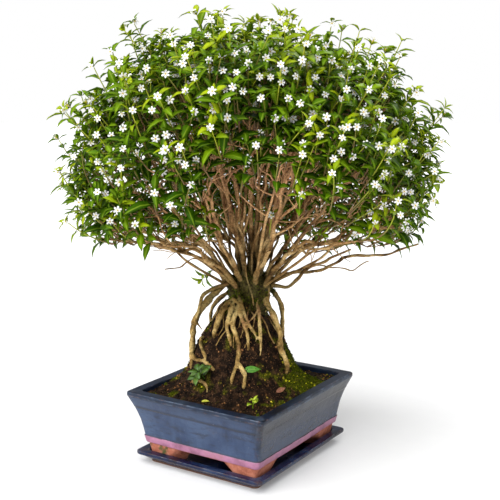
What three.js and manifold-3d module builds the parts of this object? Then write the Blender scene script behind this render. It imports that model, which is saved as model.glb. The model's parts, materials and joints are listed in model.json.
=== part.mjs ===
// Serissa bonsai in a glazed pot on its saucer. Millimetres, +Z up.
// The origin is the middle of the saucer's underside.
// X runs along the pot's short side, Y along its long side.
import * as THREE from 'three';
import { mergeVertices } from 'three/addons/utils/BufferGeometryUtils.js';
import Module from 'manifold-3d';

const wasm = await Module();
wasm.setup();

// ---------------------------------------------------------------- driving dimensions

const GAP = 0.3; // left between neighbours that touch
const SMALLEST = 0.08; // detail finer than this is merged away

// Pot: half sizes at the rim, then profiles of [inset from the rim, height]
const RIM_HALF_X = 94.5;
const RIM_HALF_Y = 107.5;
const RIM_TOP = 87.7;
const RIM_CORNER = 5;
const POT_OUTSIDE = [
  [16, 24.4], [15.2, 25.4], [13.6, 33], [14.2, 33.8], [12.8, 43], [10.9, 53], [8.6, 61], [6.4, 68],
  [5.6, 69.2], [4.4, 72.6], [2.6, 77], [0.7, 81.6], [0, 83.4], [0, 86.4], [0.8, 87.5],
];
const LEDGE = 13; // width of the flat rim
const POT_INSIDE = [[22.5, 32], [20, 42], [17.5, 58], [14, 80], [13, 87]];
const FOOT_BOTTOM = 5 + GAP;
const FOOT_PROFILE = [[23.5, FOOT_BOTTOM], [21, 8.5], [19.5, 15], [17.5, 26]];
const FOOT_LENGTH = 36;
const FOOT_SLOPE = 9;
const FOOT_WIDTH = 13;
const ARCH_TOP = 22;
const DRAIN_RADIUS = 9;
const DRAIN_Y = 42;
const MESH_SIZE = 30;
const MESH_THICK = 1.2;
const MESH_HOLE = 5;

// Saucer
const SAUCER_OUTSIDE = [[19.6, 0], [19.2, 3], [10.6, 9.6], [7.2, 10.8], [7.2, 14.2], [8, 14.9]];
const SAUCER_LIP = 9.5;
const SAUCER_FLOOR = 5;
const SAUCER_CORNER = 6;

// Soil: [radius, height] of the mound, about a point left of the trunk
const SOIL_PROFILE = [[0, 190], [22, 187], [30, 173], [37, 160], [45, 149], [52, 139], [58, 123], [65, 107],
  [72, 97], [80, 89], [90, 85], [101, 83.5]];
const SOIL_CELLS_X = 18;
const SOIL_CELLS_Y = 21;
const SOIL_GRAIN = 1.5;

// Tree: its front looks 33 degrees round from -Y toward +X
const FRONT = THREE.MathUtils.degToRad(33);
const TRUNK_ACROSS = 8;
// [height, radius]
const TRUNK = [[150, 18], [172, 21], [186, 24], [197, 25], [210, 25], [219, 20], [226, 11]];
const HEART = 212; // height from which the stems fan out
const CROWN_REACH = 320; // from the heart to the furthest tips
const CROWN_LEAN = 0.03; // how much fuller the crown is on its right, and thinner on its left
const CROWN_RADIUS = 242; // round the trunk's axis
const CROWN_DEPTH = 0.93; // of that radius, from front to back
const CROWN_FLOOR = THREE.MathUtils.degToRad(10.5); // lowest rise of the foliage, seen from the heart
const CROWN_LIFT = 0.12; // how much more its underside rises toward the front
const TIERS = [
  { count: 9, rise: 22, turn: 90, skip: 1 }, // the slot that faces the front stays open
  { count: 7, rise: 47, turn: 70, skip: 0 },
  { count: 4, rise: 68, turn: 40, skip: 0 },
  { count: 1, rise: 90, turn: 0, skip: 0 },
];

// Roots: [across, toward the front, height] from the pot's axis, radius at the top and at the end
const ROOTS = [
  { path: [[-16, 6, 211], [-33, 8, 199], [-48, 10, 181], [-58, 10, 163], [-60, 8, 146], [-61, 8, 128],
    [-61, 20, 112]], r: [6, 4] },
  { path: [[-14, 10, 210], [-30, 13, 207], [-40, 15, 202], [-48, 18, 196], [-52, 18, 179], [-55, 13, 166]],
    r: [3.4, 2.4] },
  { path: [[-20, -14, 193], [-37, -20, 175], [-40, -22, 154]], r: [4, 3] },
  { path: [[-13, 20, 191], [-25, 28, 181], [-30, 34, 167], [-34, 30, 153]], r: [5, 4] },
  { path: [[-10, 22, 190], [-14, 30, 184], [-19, 36, 165], [-16, 41, 154], [-14, 46, 147]], r: [3.6, 3] },
  { path: [[-4, 22, 190], [-8, 31, 181], [-12, 38, 168], [-7, 43, 153], [-5, 51, 141], [-7, 57, 127],
    [-13, 65, 109]], r: [3.8, 2.8] },
  { path: [[-12, 22, 195], [-5, 32, 191], [-4, 37, 181], [1, 41, 168], [5, 43, 156], [6, 50, 144]],
    r: [3, 2.4] },
  { path: [[-5, 24, 201], [-2, 31, 191], [2, 36, 178], [8, 41, 166], [15, 44, 155]], r: [3, 2.2] },
  { path: [[19, 22, 198], [16, 31, 191], [17, 36, 184], [8, 42, 173], [1, 41, 168]], r: [1.8, 1.4] },
  { path: [[15, 22, 190], [18, 31, 181], [19, 37, 166], [20, 43, 152], [20, 50, 138]], r: [3, 2.4] },
  { path: [[24, 16, 200], [27, 25, 191], [35, 30, 177], [40, 33, 165], [43, 35, 154], [43, 35, 139],
    [49, 36, 126], [51, 38, 113]], r: [5.2, 3.6] },
  { path: [[26, 10, 212], [30, 20, 206], [29, 26, 190]], r: [2.6, 2] },
  { path: [[32, -6, 200], [44, -14, 182], [47, -16, 166], [47, -16, 150], [48, -16, 136]], r: [4.4, 3.4] },
  { path: [[0, -20, 196], [-6, -34, 178], [-8, -42, 160], [-10, -48, 144]], r: [4.6, 3.4] },
  { path: [[16, -20, 194], [24, -34, 176], [26, -42, 158], [30, -48, 142]], r: [4, 3] },
];
// Short surface roots that leave the mound and dive back into it
const SURFACE_ROOTS = [
  { path: [[-40, 6, 138], [-49, 16, 146], [-49, 26, 139], [-44, 36, 129], [-40, 36, 116]], r: 2.4 },
  { path: [[-61, 8, 124], [-56, 24, 122], [-46, 38, 124], [-36, 50, 120], [-30, 44, 108]], r: 2.4 },
  { path: [[-2, 42, 128], [-3, 57, 124], [2, 63, 115], [1, 68, 104], [0, 60, 96]], r: 2.6 },
  { path: [[-50, 34, 96], [-58, 43, 101], [-50, 50, 104], [-42, 57, 101], [-40, 62, 90]], r: 2.2 },
];

// Stems
const STEM_PLACE = 0.71; // of the reach, where a stem ends in the core of its spray
const FORK_SPREAD = 17;

// Leaves and flowers
const LEAF_LENGTH = 24;
const LEAF_WIDTH = 9.5;
const WIDEST = 0.38; // of the length, from the root
const BELLY = 0.06; // rise of that place, of the length
const BLADE = 0.7;
const FLOWER_RADIUS = 5;
const FLOWER_TUBE = 8;
const PETALS = 6;
const SHOOTS_PER_SPRAY = 7;
const SHOOT_LONGEST = 66;
const SHOOT_BARE = 15; // of it that runs in the core and just out of it
const TWIG_RADIUS = 1.4;
const NODE = 2; // of twig that the leaves of a node spring from
const NODE_STEP = 21.8; // of twig between one node and the next
const TWIST = 0.6; // of the twig from node to node
const BUD = 4;
const CORE_SIZE = 27;
const CORE_ROOT = 0.6; // how far out in the core its shoots spring from
const CORE_PLACE = 0.74; // of the reach, from the heart

// ---------------------------------------------------------------- helpers

const V = (x, y, z) => new THREE.Vector3(x, y, z);
const UP = V(0, 0, 1);
const RIGHT_DIR = V(Math.cos(FRONT), Math.sin(FRONT), 0);
const FRONT_DIR = V(Math.sin(FRONT), -Math.cos(FRONT), 0);

// point given as the tree is looked at: across to the right, toward the front, height
function seen([across, toward, height]) {
  return V(0, 0, height).addScaledVector(RIGHT_DIR, across).addScaledVector(FRONT_DIR, toward);
}

function seededDraw(seed) {
  let state = seed;
  return (low = 0, high = 1) => {
    state = (state + 0x6d2b79f5) | 0;
    let t = Math.imul(state ^ (state >>> 15), 1 | state);
    t = (t + Math.imul(t ^ (t >>> 7), 61 | t)) ^ t;
    return low + (high - low) * (((t ^ (t >>> 14)) >>> 0) / 4294967296);
  };
}

function toManifold(geometry) {
  const bare = geometry.clone();
  bare.deleteAttribute('normal');
  bare.deleteAttribute('uv');
  const merged = mergeVertices(bare, 1e-5);
  return new wasm.Manifold(new wasm.Mesh({
    numProp: 3,
    vertProperties: new Float32Array(merged.attributes.position.array),
    triVerts: new Uint32Array(merged.index.array),
  }));
}

function fromTriangles(points, faces) {
  const geometry = new THREE.BufferGeometry().setFromPoints(points);
  geometry.setIndex(faces.flat());
  return toManifold(geometry);
}

// closed skin through rings of equal size, counter-clockwise about the way they follow each other
function skin(rings) {
  const n = rings[0].length;
  const points = rings.flat();
  const faces = [];
  for (let i = 0; i + 1 < rings.length; i += 1) {
    for (let j = 0; j < n; j += 1) {
      const a = i * n + j;
      const b = i * n + ((j + 1) % n);
      faces.push([a, b, b + n], [a, b + n, a + n]);
    }
  }
  const last = (rings.length - 1) * n;
  const mean = (ring) => ring.reduce((sum, p) => sum.add(p), V(0, 0, 0)).divideScalar(n);
  points.push(mean(rings[0]), mean(rings[rings.length - 1]));
  for (let j = 0; j < n; j += 1) {
    const k = (j + 1) % n;
    faces.push([points.length - 2, k, j], [points.length - 1, last + j, last + k]);
  }
  return fromTriangles(points, faces);
}

function framedRing(halfX, halfY, corner, z, steps = 3) {
  const ring = [];
  for (let quarter = 0; quarter < 4; quarter += 1) {
    const cx = (halfX - corner) * (quarter === 0 || quarter === 3 ? 1 : -1);
    const cy = (halfY - corner) * (quarter < 2 ? 1 : -1);
    for (let i = 0; i < steps; i += 1) {
      const angle = (Math.PI / 2) * (quarter + i / (steps - 1));
      ring.push(V(cx + corner * Math.cos(angle), cy + corner * Math.sin(angle), z));
    }
  }
  return ring;
}

// rectangular loft: each step is [inset from the rim, height]
function framed(profile, corner, steps = 3) {
  const ring = ([inset, z]) => framedRing(RIM_HALF_X - inset, RIM_HALF_Y - inset, corner, z, steps);
  return skin(profile.map(ring));
}

function box(sizeX, sizeY, sizeZ, x, y, z) {
  return toManifold(new THREE.BoxGeometry(sizeX, sizeY, sizeZ).translate(x, y, z));
}

// tapering limb along a list of points
function limb(path, radii, sides, twist = 0) {
  const rings = [];
  let across = V(1, 0, 0);
  path.forEach((p, i) => {
    const ahead = path[Math.min(i + 1, path.length - 1)];
    const behind = path[Math.max(i - 1, 0)];
    const way = ahead.clone().sub(behind).normalize();
    across = across.clone().addScaledVector(way, -across.dot(way));
    if (across.length() < 0.1) across = V(0, 1, 0).addScaledVector(way, -way.y);
    across.normalize();
    const other = way.clone().cross(across);
    const ring = [];
    for (let j = 0; j < sides; j += 1) {
      const angle = (2 * Math.PI * j) / sides + twist;
      ring.push(p.clone().addScaledVector(across, radii[i] * Math.cos(angle))
        .addScaledVector(other, radii[i] * Math.sin(angle)));
    }
    rings.push(ring);
  });
  return skin(rings);
}

const union = (solids) => wasm.Manifold.union(solids);

// one closed body: loose scraps are dropped and sealed hollows filled
function whole(solid) {
  const bodies = solid.decompose();
  return bodies.reduce((best, body) => (body.volume() > best.volume() ? body : best));
}

const part = new THREE.Group();
part.name = 'serissa_bonsai';

function add(name, solid, color, roughness) {
  const result = solid.getMesh();
  const geometry = new THREE.BufferGeometry();
  geometry.setAttribute('position', new THREE.Float32BufferAttribute(result.vertProperties, 3));
  geometry.setIndex(Array.from(result.triVerts));
  geometry.computeVertexNormals();
  const material = new THREE.MeshStandardMaterial({ color, roughness, metalness: 0, flatShading: true });
  const mesh = new THREE.Mesh(geometry, material);
  mesh.name = name;
  part.add(mesh);
}

// ---------------------------------------------------------------- saucer: pressed clay, dark blue glaze

const saucerRecess = [[SAUCER_OUTSIDE.at(-1)[0] + SAUCER_LIP + 3, SAUCER_FLOOR],
  [SAUCER_OUTSIDE.at(-1)[0] + SAUCER_LIP, 15.5]];
const saucer = framed(SAUCER_OUTSIDE, SAUCER_CORNER).subtract(framed(saucerRecess, SAUCER_CORNER - 2));
add('saucer', saucer, 0x1b2438, 0.25);

// ---------------------------------------------------------------- pot: slate-blue glaze, lilac band, clay feet

const potShell = framed(POT_OUTSIDE, RIM_CORNER)
  .subtract(framed([...POT_INSIDE, [LEDGE - 0.6, RIM_TOP + 0.2]], RIM_CORNER - 1));

function footArch(length, along) {
  const shape = new THREE.Shape();
  const half = length / 2 - FOOT_LENGTH;
  shape.moveTo(-half - 2, FOOT_BOTTOM - 4);
  shape.lineTo(half + 2, FOOT_BOTTOM - 4);
  shape.lineTo(half - 2, 12);
  shape.lineTo(half - FOOT_SLOPE, ARCH_TOP - 1.5);
  shape.lineTo(half - FOOT_SLOPE - 4, ARCH_TOP);
  shape.lineTo(-half + FOOT_SLOPE + 4, ARCH_TOP);
  shape.lineTo(-half + FOOT_SLOPE, ARCH_TOP - 1.5);
  shape.lineTo(-half + 2, 12);
  shape.closePath();
  const arch = new THREE.ExtrudeGeometry(shape, { depth: 260, bevelEnabled: false });
  arch.translate(0, 0, -130).rotateX(Math.PI / 2);
  if (along === 'y') arch.rotateZ(Math.PI / 2);
  return toManifold(arch);
}

const footInset = FOOT_PROFILE[0][0];
const feet = framed(FOOT_PROFILE, 4)
  .subtract(framed([[footInset + FOOT_WIDTH, 0], [footInset + FOOT_WIDTH, 23]], 2))
  .subtract(footArch(2 * (RIM_HALF_X - footInset), 'x'))
  .subtract(footArch(2 * (RIM_HALF_Y - footInset), 'y'));
const drains = union([-DRAIN_Y, DRAIN_Y].map((y) => toManifold(
  new THREE.CylinderGeometry(DRAIN_RADIUS, DRAIN_RADIUS, 30, 16).rotateX(Math.PI / 2).translate(0, y, 28),
)));
const pot = whole(potShell.add(feet).subtract(drains));
add('pot', pot, 0x3f5478, 0.3);

// ---------------------------------------------------------------- drain mesh: black plastic squares

function drainMesh(y, grow) {
  const z = POT_INSIDE[0][1] + GAP + MESH_THICK / 2;
  return box(MESH_SIZE + 2 * grow, MESH_SIZE + 2 * grow, MESH_THICK + 2 * grow, 0, y, z);
}

[-DRAIN_Y, DRAIN_Y].forEach((y, i) => {
  const holes = [];
  for (const cx of [-1, 1]) {
    for (const cy of [-1, 1]) holes.push(box(MESH_HOLE, MESH_HOLE, 6, cx * 5, y + cy * 5, 33));
  }
  add(`drain_mesh_${i + 1}`, drainMesh(y, 0).subtract(union(holes)), 0x1c1c1c, 0.7);
});

// ---------------------------------------------------------------- crown: where each spray sits

const heart = seen([TRUNK_ACROSS, 0, HEART]);

// distance from the heart to the outermost tips, along a unit direction
function reach(dir) {
  const level = Math.hypot(dir.dot(RIGHT_DIR), dir.dot(FRONT_DIR) / CROWN_DEPTH);
  const side = CROWN_RADIUS / Math.max(level, 0.2);
  const sharp = 9;
  return (side ** -sharp + CROWN_REACH ** -sharp) ** (-1 / sharp) * (1 + CROWN_LEAN * dir.dot(RIGHT_DIR));
}

function heading(turn, rise) {
  const phi = THREE.MathUtils.degToRad(turn);
  const psi = THREE.MathUtils.degToRad(rise);
  return V(0, 0, Math.sin(psi)).addScaledVector(RIGHT_DIR, Math.cos(psi) * Math.cos(phi))
    .addScaledVector(FRONT_DIR, Math.cos(psi) * Math.sin(phi)).normalize();
}

const slots = []; // every heading, with the open front
TIERS.forEach(({ count, rise, turn, skip }) => {
  for (let i = 0; i < count; i += 1) {
    slots.push({ dir: heading(turn + (360 * i) / count, rise), rise, open: i < skip });
  }
});
const sprays = slots.filter((slot) => !slot.open);

// how far a point is inside the wedge of a spray; negative outside
function inside(spray, point) {
  const from = point.clone().sub(heart);
  let least = from.z - Math.tan(CROWN_FLOOR) * Math.hypot(from.x, from.y);
  least -= CROWN_LIFT * Math.max(0, from.dot(FRONT_DIR));
  for (const other of slots) {
    if (other === spray) continue;
    least = Math.min(least, from.dot(spray.dir.clone().sub(other.dir).normalize()));
  }
  return least;
}

// ---------------------------------------------------------------- tree wood: roots, trunk, stems and twigs

// every spray stands on a stem, and on a fork of it that enters the spray beside the stem
const stems = sprays.map((spray, k) => {
  const draw = seededDraw(100 + k);
  const level = V(spray.dir.x, spray.dir.y, 0);
  const base = seen([TRUNK_ACROSS, 0, 196]).addScaledVector(level, 17);
  const target = heart.clone().addScaledVector(spray.dir, STEM_PLACE * reach(spray.dir));
  const low = THREE.MathUtils.clamp((47 - spray.rise) / 25, 0, 1);
  const bend = base.clone().lerp(target, 0.42 - 0.1 * low);
  bend.z = base.z + (target.z - base.z) * (0.5 + 0.36 * low);
  const points = new THREE.QuadraticBezierCurve3(base, bend, target).getPoints(4);
  points.slice(1, -1).forEach((p) => p.add(V(draw(-3, 3), draw(-3, 3), draw(-2, 2))));
  const thick = draw(2.8, 3.8);
  const side = spray.dir.clone().cross(UP).normalize().multiplyScalar(k % 2 ? FORK_SPREAD : -FORK_SPREAD);
  const end = heart.clone().addScaledVector(spray.dir, STEM_PLACE * reach(spray.dir)).add(side);
  return {
    points,
    radii: points.map((p, i) => thick - ((thick - 1.7) * i) / 4),
    fork: [points[2].clone(), points[2].clone().lerp(end, 0.5).addScaledVector(side, 0.2), end],
    forkRadii: [1.9, 1.5, 1.2],
  };
});

function longer(points, extra) {
  const [before, last] = points.slice(-2);
  const way = last.clone().sub(before).normalize();
  return [...points.slice(0, -1), last.clone().addScaledVector(way, extra)];
}

function woodSolids(extra) {
  const solids = [];
  const trunkRings = TRUNK.map(([z, radius], i) => {
    const ring = [];
    for (let j = 0; j < 10; j += 1) {
      const angle = (2 * Math.PI * j) / 10;
      const lump = 1 + 0.1 * Math.sin(3 * angle + i) + 0.06 * Math.sin(5 * angle + 2 * i);
      const out = radius * lump + extra;
      ring.push(seen([TRUNK_ACROSS, 0, z]).add(V(out * Math.cos(angle), out * Math.sin(angle), 0)));
    }
    return ring;
  });
  solids.push(skin(trunkRings));
  for (const { path, r } of ROOTS) {
    const points = path.map(seen);
    const first = points[0];
    const axis = seen([TRUNK_ACROSS, 0, first.z]);
    points.unshift(first.clone().lerp(axis, 0.55));
    const last = points.at(-1);
    points.push(last.clone().lerp(V(0, 0, last.z), 0.12).addScaledVector(UP, -12 - extra));
    const radii = points.map((p, i) => r[0] + ((r[1] - r[0]) * i) / (points.length - 1) + extra);
    solids.push(limb(points, radii, 5));
  }
  for (const { path, r } of SURFACE_ROOTS) {
    const points = path.map(seen);
    solids.push(limb(points, points.map((p, i) => (i === points.length - 1 ? 0.7 : 1) * r + extra), 4));
  }
  for (const { points, radii, fork, forkRadii } of stems) {
    solids.push(limb(longer(points, extra), radii.map((r) => r + extra), 5));
    solids.push(limb(longer(fork, extra), forkRadii.map((r) => r + extra), 3));
  }
  return solids;
}

// bare twigs below the foliage
const TWIGS = [
  { path: [[-34, 0, 232], [-50, 6, 234], [-63, 8, 233], [-75, 9, 225], [-92, 10, 227]], r: 1.2 },
  { path: [[74, 2, 224], [84, 8, 229], [104, 12, 230], [126, 14, 229], [146, 16, 238]], r: 1.3 },
  { path: [[20, 0, 205], [36, 12, 210], [54, 14, 209], [78, 12, 226], [100, 10, 240], [126, 6, 250]],
    r: 2.6 },
];

function twigSolids(extra) {
  return TWIGS.map(({ path, r }) => {
    const points = path.map(seen);
    const radii = points.map((p, i) => r - (0.45 * r * i) / (points.length - 1) + extra);
    return limb(points, radii, 4);
  });
}

const wood = whole(union([...woodSolids(0), ...twigSolids(0)])).simplify(SMALLEST);
const woodRoom = union([...woodSolids(GAP), ...twigSolids(GAP)]);
add('tree_wood', wood, 0x8a6e4e, 0.8);

// ---------------------------------------------------------------- soil

function soilHeight(x, y) {
  const across = x * RIGHT_DIR.x + y * RIGHT_DIR.y + 2;
  const toward = x * FRONT_DIR.x + y * FRONT_DIR.y;
  const radius = Math.hypot(across, toward);
  let height = SOIL_PROFILE.at(-1)[1];
  for (let i = 0; i + 1 < SOIL_PROFILE.length; i += 1) {
    const [r0, z0] = SOIL_PROFILE[i];
    const [r1, z1] = SOIL_PROFILE[i + 1];
    if (radius >= r0 && radius < r1) height = z0 + ((z1 - z0) * (radius - r0)) / (r1 - r0);
  }
  return height;
}

// places without crumbs, for what lies or stands on the soil: [across, toward]
const SMOOTH_SPOTS = [[11, 58], [43, 58], [-42, 74], [-43, 48], [11, 87]];
const SMOOTH_RADIUS = 15;

function crumbs(x, y, draw) {
  const near = Math.min(...SMOOTH_SPOTS.map((spot) => seen([...spot, 0]).distanceTo(V(x, y, 0))));
  return draw(-SOIL_GRAIN, SOIL_GRAIN) * (near < SMOOTH_RADIUS ? 0.1 : 1);
}

function soilSurface() {
  const draw = seededDraw(7);
  const halfX = RIM_HALF_X - LEDGE + 4;
  const halfY = RIM_HALF_Y - LEDGE + 4;
  const points = [];
  const faces = [];
  const nx = SOIL_CELLS_X;
  const ny = SOIL_CELLS_Y;
  for (let j = 0; j <= ny; j += 1) {
    for (let i = 0; i <= nx; i += 1) {
      const x = -halfX + (2 * halfX * i) / nx;
      const y = -halfY + (2 * halfY * j) / ny;
      points.push(V(x, y, soilHeight(x, y) + crumbs(x, y, draw)));
    }
  }
  for (let j = 0; j < ny; j += 1) {
    for (let i = 0; i < nx; i += 1) {
      const a = j * (nx + 1) + i;
      faces.push([a, a + 1, a + nx + 2], [a, a + nx + 2, a + nx + 1]);
    }
  }
  const edge = [];
  for (let i = 0; i < nx; i += 1) edge.push(i);
  for (let j = 0; j < ny; j += 1) edge.push(j * (nx + 1) + nx);
  for (let i = nx; i > 0; i -= 1) edge.push(ny * (nx + 1) + i);
  for (let j = ny; j > 0; j -= 1) edge.push(j * (nx + 1));
  const start = points.length;
  edge.forEach((index) => points.push(V(points[index].x, points[index].y, 20)));
  points.push(V(0, 0, 20));
  edge.forEach((index, i) => {
    const k = (i + 1) % edge.length;
    faces.push([index, start + i, edge[k]], [edge[k], start + i, start + k]);
    faces.push([points.length - 1, start + k, start + i]);
  });
  return fromTriangles(points, faces);
}

const potRoom = framed([...POT_INSIDE.map(([inset, z], i) => [inset + GAP, z + (i ? 0 : GAP)]),
  [LEDGE + GAP, 260]], RIM_CORNER - 1);

// ---------------------------------------------------------------- leaf sprays

// Half a leaf's thickness either side of its widest place, and its tip: the points that a leaf adds to the
// loop of four it springs from. It lies along dir and bends down toward its tip.
function blade(start, dir, broad, size, droop) {
  const over = dir.clone().cross(broad);
  const length = size * LEAF_LENGTH;
  const at = (along, side, lift) => start.clone().addScaledVector(dir, along * length)
    .addScaledVector(broad, side * size * LEAF_WIDTH).addScaledVector(over, lift);
  const low = BELLY * length - BLADE / 2;
  const high = BELLY * length + BLADE / 2;
  return [at(WIDEST, -0.5, low), at(WIDEST, 0.5, low), at(WIDEST, 0.5, high), at(WIDEST, -0.5, high),
    at(1, 0, -droop * length)];
}

// faces of a blade on its loop: four sides, then four that close at the tip
function bladeFaces(loop, first) {
  return [0, 1, 2, 3].flatMap((k) => {
    const m = (k + 1) % 4;
    return [[loop[k], loop[m], first + m], [loop[k], first + m, first + k], [first + k, first + m, first + 4]];
  });
}

// Leafy shoot in one skin: a square green twig whose four sides run out, at each node, into two crossed
// pairs of leaves, closed by a funnel flower with pointed petals or by a bud.
function shoot(root, away, settings) {
  const { length, turn, nodes, blooms, sizes, droops, allowed = () => true, lean = 0.6, bare = 8 } = settings;
  const level = away.clone().cross(Math.abs(away.z) < 0.9 ? UP : RIGHT_DIR).normalize();
  const u = level.applyAxisAngle(away, turn);
  const v = away.clone().cross(u);
  const around = (centre, radius, angle) => centre.clone().addScaledVector(u, radius * Math.cos(angle))
    .addScaledVector(v, radius * Math.sin(angle));
  const along = (height) => root.clone().addScaledVector(away, height);
  const heights = [0];
  for (let i = 1; i <= nodes; i += 1) {
    const top = bare + ((length - bare) * i) / nodes;
    heights.push(top - NODE, top);
  }
  const points = [];
  const faces = [];
  heights.forEach((height, i) => {
    const radius = TWIG_RADIUS * (1 - (0.35 * i) / heights.length);
    for (let j = 0; j < 4; j += 1) {
      points.push(around(along(height), radius, (Math.PI / 2) * (j - 0.5) + TWIST * Math.floor(i / 2)));
    }
  });
  let drawn = 0;
  for (let i = 0; i + 1 < heights.length; i += 1) {
    const middle = along((heights[i] + heights[i + 1]) / 2);
    for (let j = 0; j < 4; j += 1) {
      const loop = [i * 4 + j, i * 4 + ((j + 1) % 4), i * 4 + 4 + ((j + 1) % 4), i * 4 + 4 + j];
      let leaf = null;
      if (i % 2 === 1) {
        const outward = u.clone().applyAxisAngle(away, (Math.PI / 2) * j + (TWIST * i) / 2);
        const dir = outward.clone().addScaledVector(away, lean * (j % 2 ? 0.6 : 1.5)).normalize();
        const broad = away.clone().cross(outward);
        leaf = blade(middle, dir, broad, sizes[drawn % sizes.length], droops[drawn % droops.length]);
        drawn += 1;
      }
      if (leaf && leaf.every(allowed)) {
        faces.push(...bladeFaces(loop, points.length));
        points.push(...leaf);
      } else {
        faces.push([loop[0], loop[1], loop[2]], [loop[0], loop[2], loop[3]]);
      }
    }
  }
  faces.push([2, 1, 0], [3, 2, 0]);
  const end = (heights.length - 1) * 4;
  const corners = 2 * PETALS;
  const star = [];
  for (let i = 0; i < corners; i += 1) {
    const angle = (2 * Math.PI * i) / corners - Math.PI / 4 + TWIST * Math.floor((heights.length - 1) / 2);
    const notch = i % 2;
    star.push(around(along(length + FLOWER_TUBE - 0.6 * notch), FLOWER_RADIUS * (notch ? 0.45 : 1), angle));
  }
  if (blooms && star.every(allowed)) {
    const first = points.length;
    const rim = (i) => first + (i % corners);
    points.push(...star, along(length + FLOWER_TUBE - 0.8));
    for (let j = 0; j < 4; j += 1) {
      const a = end + j;
      const b = end + ((j + 1) % 4);
      const k = 3 * j;
      faces.push([a, rim(k + 1), rim(k)], [a, rim(k + 2), rim(k + 1)], [a, b, rim(k + 2)],
        [b, rim(k + 3), rim(k + 2)]);
    }
    for (let i = 0; i < corners; i += 1) faces.push([rim(i), rim(i + 1), first + corners]);
  } else {
    points.push(along(length + BUD));
    for (let j = 0; j < 4; j += 1) faces.push([end + j, end + ((j + 1) % 4), points.length - 1]);
  }
  return fromTriangles(points, faces);
}

const within = (p) => p.distanceTo(heart) <= reach(p.clone().sub(heart).normalize());

// how far one can go from a point before meeting the edge of the spray's wedge or the outermost tips
function room(spray, from, way, most) {
  let far = 0;
  while (far < most) {
    const p = from.clone().addScaledVector(way, far + 1);
    if (inside(spray, p) < GAP || !within(p)) break;
    far += 1;
  }
  return far;
}

// small dense heart of a spray, out of which its leaves and shoots stand
function sprayCore(spray, draw) {
  const shape = new THREE.IcosahedronGeometry(1, 0);
  shape.deleteAttribute('normal');
  shape.deleteAttribute('uv');
  const ball = mergeVertices(shape);
  const centre = heart.clone().addScaledVector(spray.dir, CORE_PLACE * reach(spray.dir));
  const points = [];
  for (let i = 0; i < ball.attributes.position.count; i += 1) {
    const dir = V(0, 0, 0).fromBufferAttribute(ball.attributes.position, i).normalize();
    const size = Math.min(CORE_SIZE * draw(0.8, 1.2), room(spray, centre, dir, 60) - 12);
    points.push(centre.clone().addScaledVector(dir, size));
  }
  const faces = [];
  for (let i = 0; i < ball.index.count; i += 3) faces.push([0, 1, 2].map((k) => ball.index.getX(i + k)));
  return { solid: fromTriangles(points, faces), centre };
}

function leafSpray(spray, number) {
  const draw = seededDraw(1000 + number);
  const core = sprayCore(spray, draw);
  const solids = [core.solid];
  const allowed = (p) => inside(spray, p) > GAP && within(p);
  const u = spray.dir.clone().cross(Math.abs(spray.dir.z) < 0.9 ? UP : RIGHT_DIR).normalize();
  const start = draw(0, 2 * Math.PI);
  for (let i = 0; i < SHOOTS_PER_SPRAY; i += 1) {
    const turn = start + (2 * Math.PI * i) / (SHOOTS_PER_SPRAY - 1);
    const sideways = u.clone().applyAxisAngle(spray.dir, turn);
    const tilt = i === SHOOTS_PER_SPRAY - 1 ? 0 : draw(0.75, 1.25);
    const away = spray.dir.clone().multiplyScalar(Math.cos(tilt)).addScaledVector(sideways, Math.sin(tilt));
    const root = core.centre.clone().addScaledVector(away, CORE_ROOT * CORE_SIZE);
    const length = Math.min(SHOOT_LONGEST, room(spray, root, away, 90) - 11) * draw(0.92, 1);
    const bare = Math.min(SHOOT_BARE, length);
    const nodes = Math.max(1, Math.round((length - bare + 6) / NODE_STEP));
    const made = shoot(root, away, {
      length,
      turn: draw(0, Math.PI / 2),
      nodes,
      blooms: i % 4 !== 1,
      bare,
      sizes: [draw(0.85, 1.15), draw(0.85, 1.15), draw(0.85, 1.15)],
      droops: [draw(0.05, 0.3), draw(0.05, 0.3)],
      allowed,
    });
    solids.push(made);
  }
  return whole(union(solids).subtract(woodRoom)).simplify(SMALLEST);
}

sprays.forEach((spray, i) => {
  const green = i % 3 === 0 ? 0x5f8a2c : 0x3f6e27;
  add(`leaf_spray_${String(i + 1).padStart(2, '0')}`, leafSpray(spray, i), green, 0.55);
});

// ---------------------------------------------------------------- small shoots low on the stems

// [which stem, how far along it, side twist]
const LOW_SHOOTS = [[1, 0.27, 2.4], [6, 0.3, 0.6], [9, 0.42, 1.2], [14, 0.4, 4.2]];

LOW_SHOOTS.forEach(([which, along, turn], i) => {
  const { points } = stems[which];
  const place = along * (points.length - 1);
  const from = points[Math.floor(place)].clone().lerp(points[Math.ceil(place)], place % 1);
  const way = points[Math.ceil(place)].clone().sub(points[Math.floor(place)]).normalize();
  const away = way.clone().cross(RIGHT_DIR).normalize().applyAxisAngle(way, turn).addScaledVector(way, 0.4)
    .normalize();
  const sizes = [0.7, 0.8];
  const small = shoot(from, away, { length: 15, turn, nodes: 1, blooms: false, sizes, droops: [0.2] });
  const solid = whole(small.subtract(woodRoom)).simplify(SMALLEST);
  add(`leaf_shoot_low_${i + 1}`, solid, 0x6d9a35, 0.5);
});

// ---------------------------------------------------------------- weeds rooted in the soil

const clearOfSoil = (p) => p.z > soilHeight(p.x, p.y) + 1.2;

function slopeUp(across, toward) {
  const here = seen([across, toward, 0]);
  const step = 6;
  const rise = (dx, dy) => soilHeight(here.x + dx, here.y + dy) - soilHeight(here.x - dx, here.y - dy);
  return V(-rise(step, 0) / (2 * step), -rise(0, step) / (2 * step), 1).normalize();
}

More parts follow.
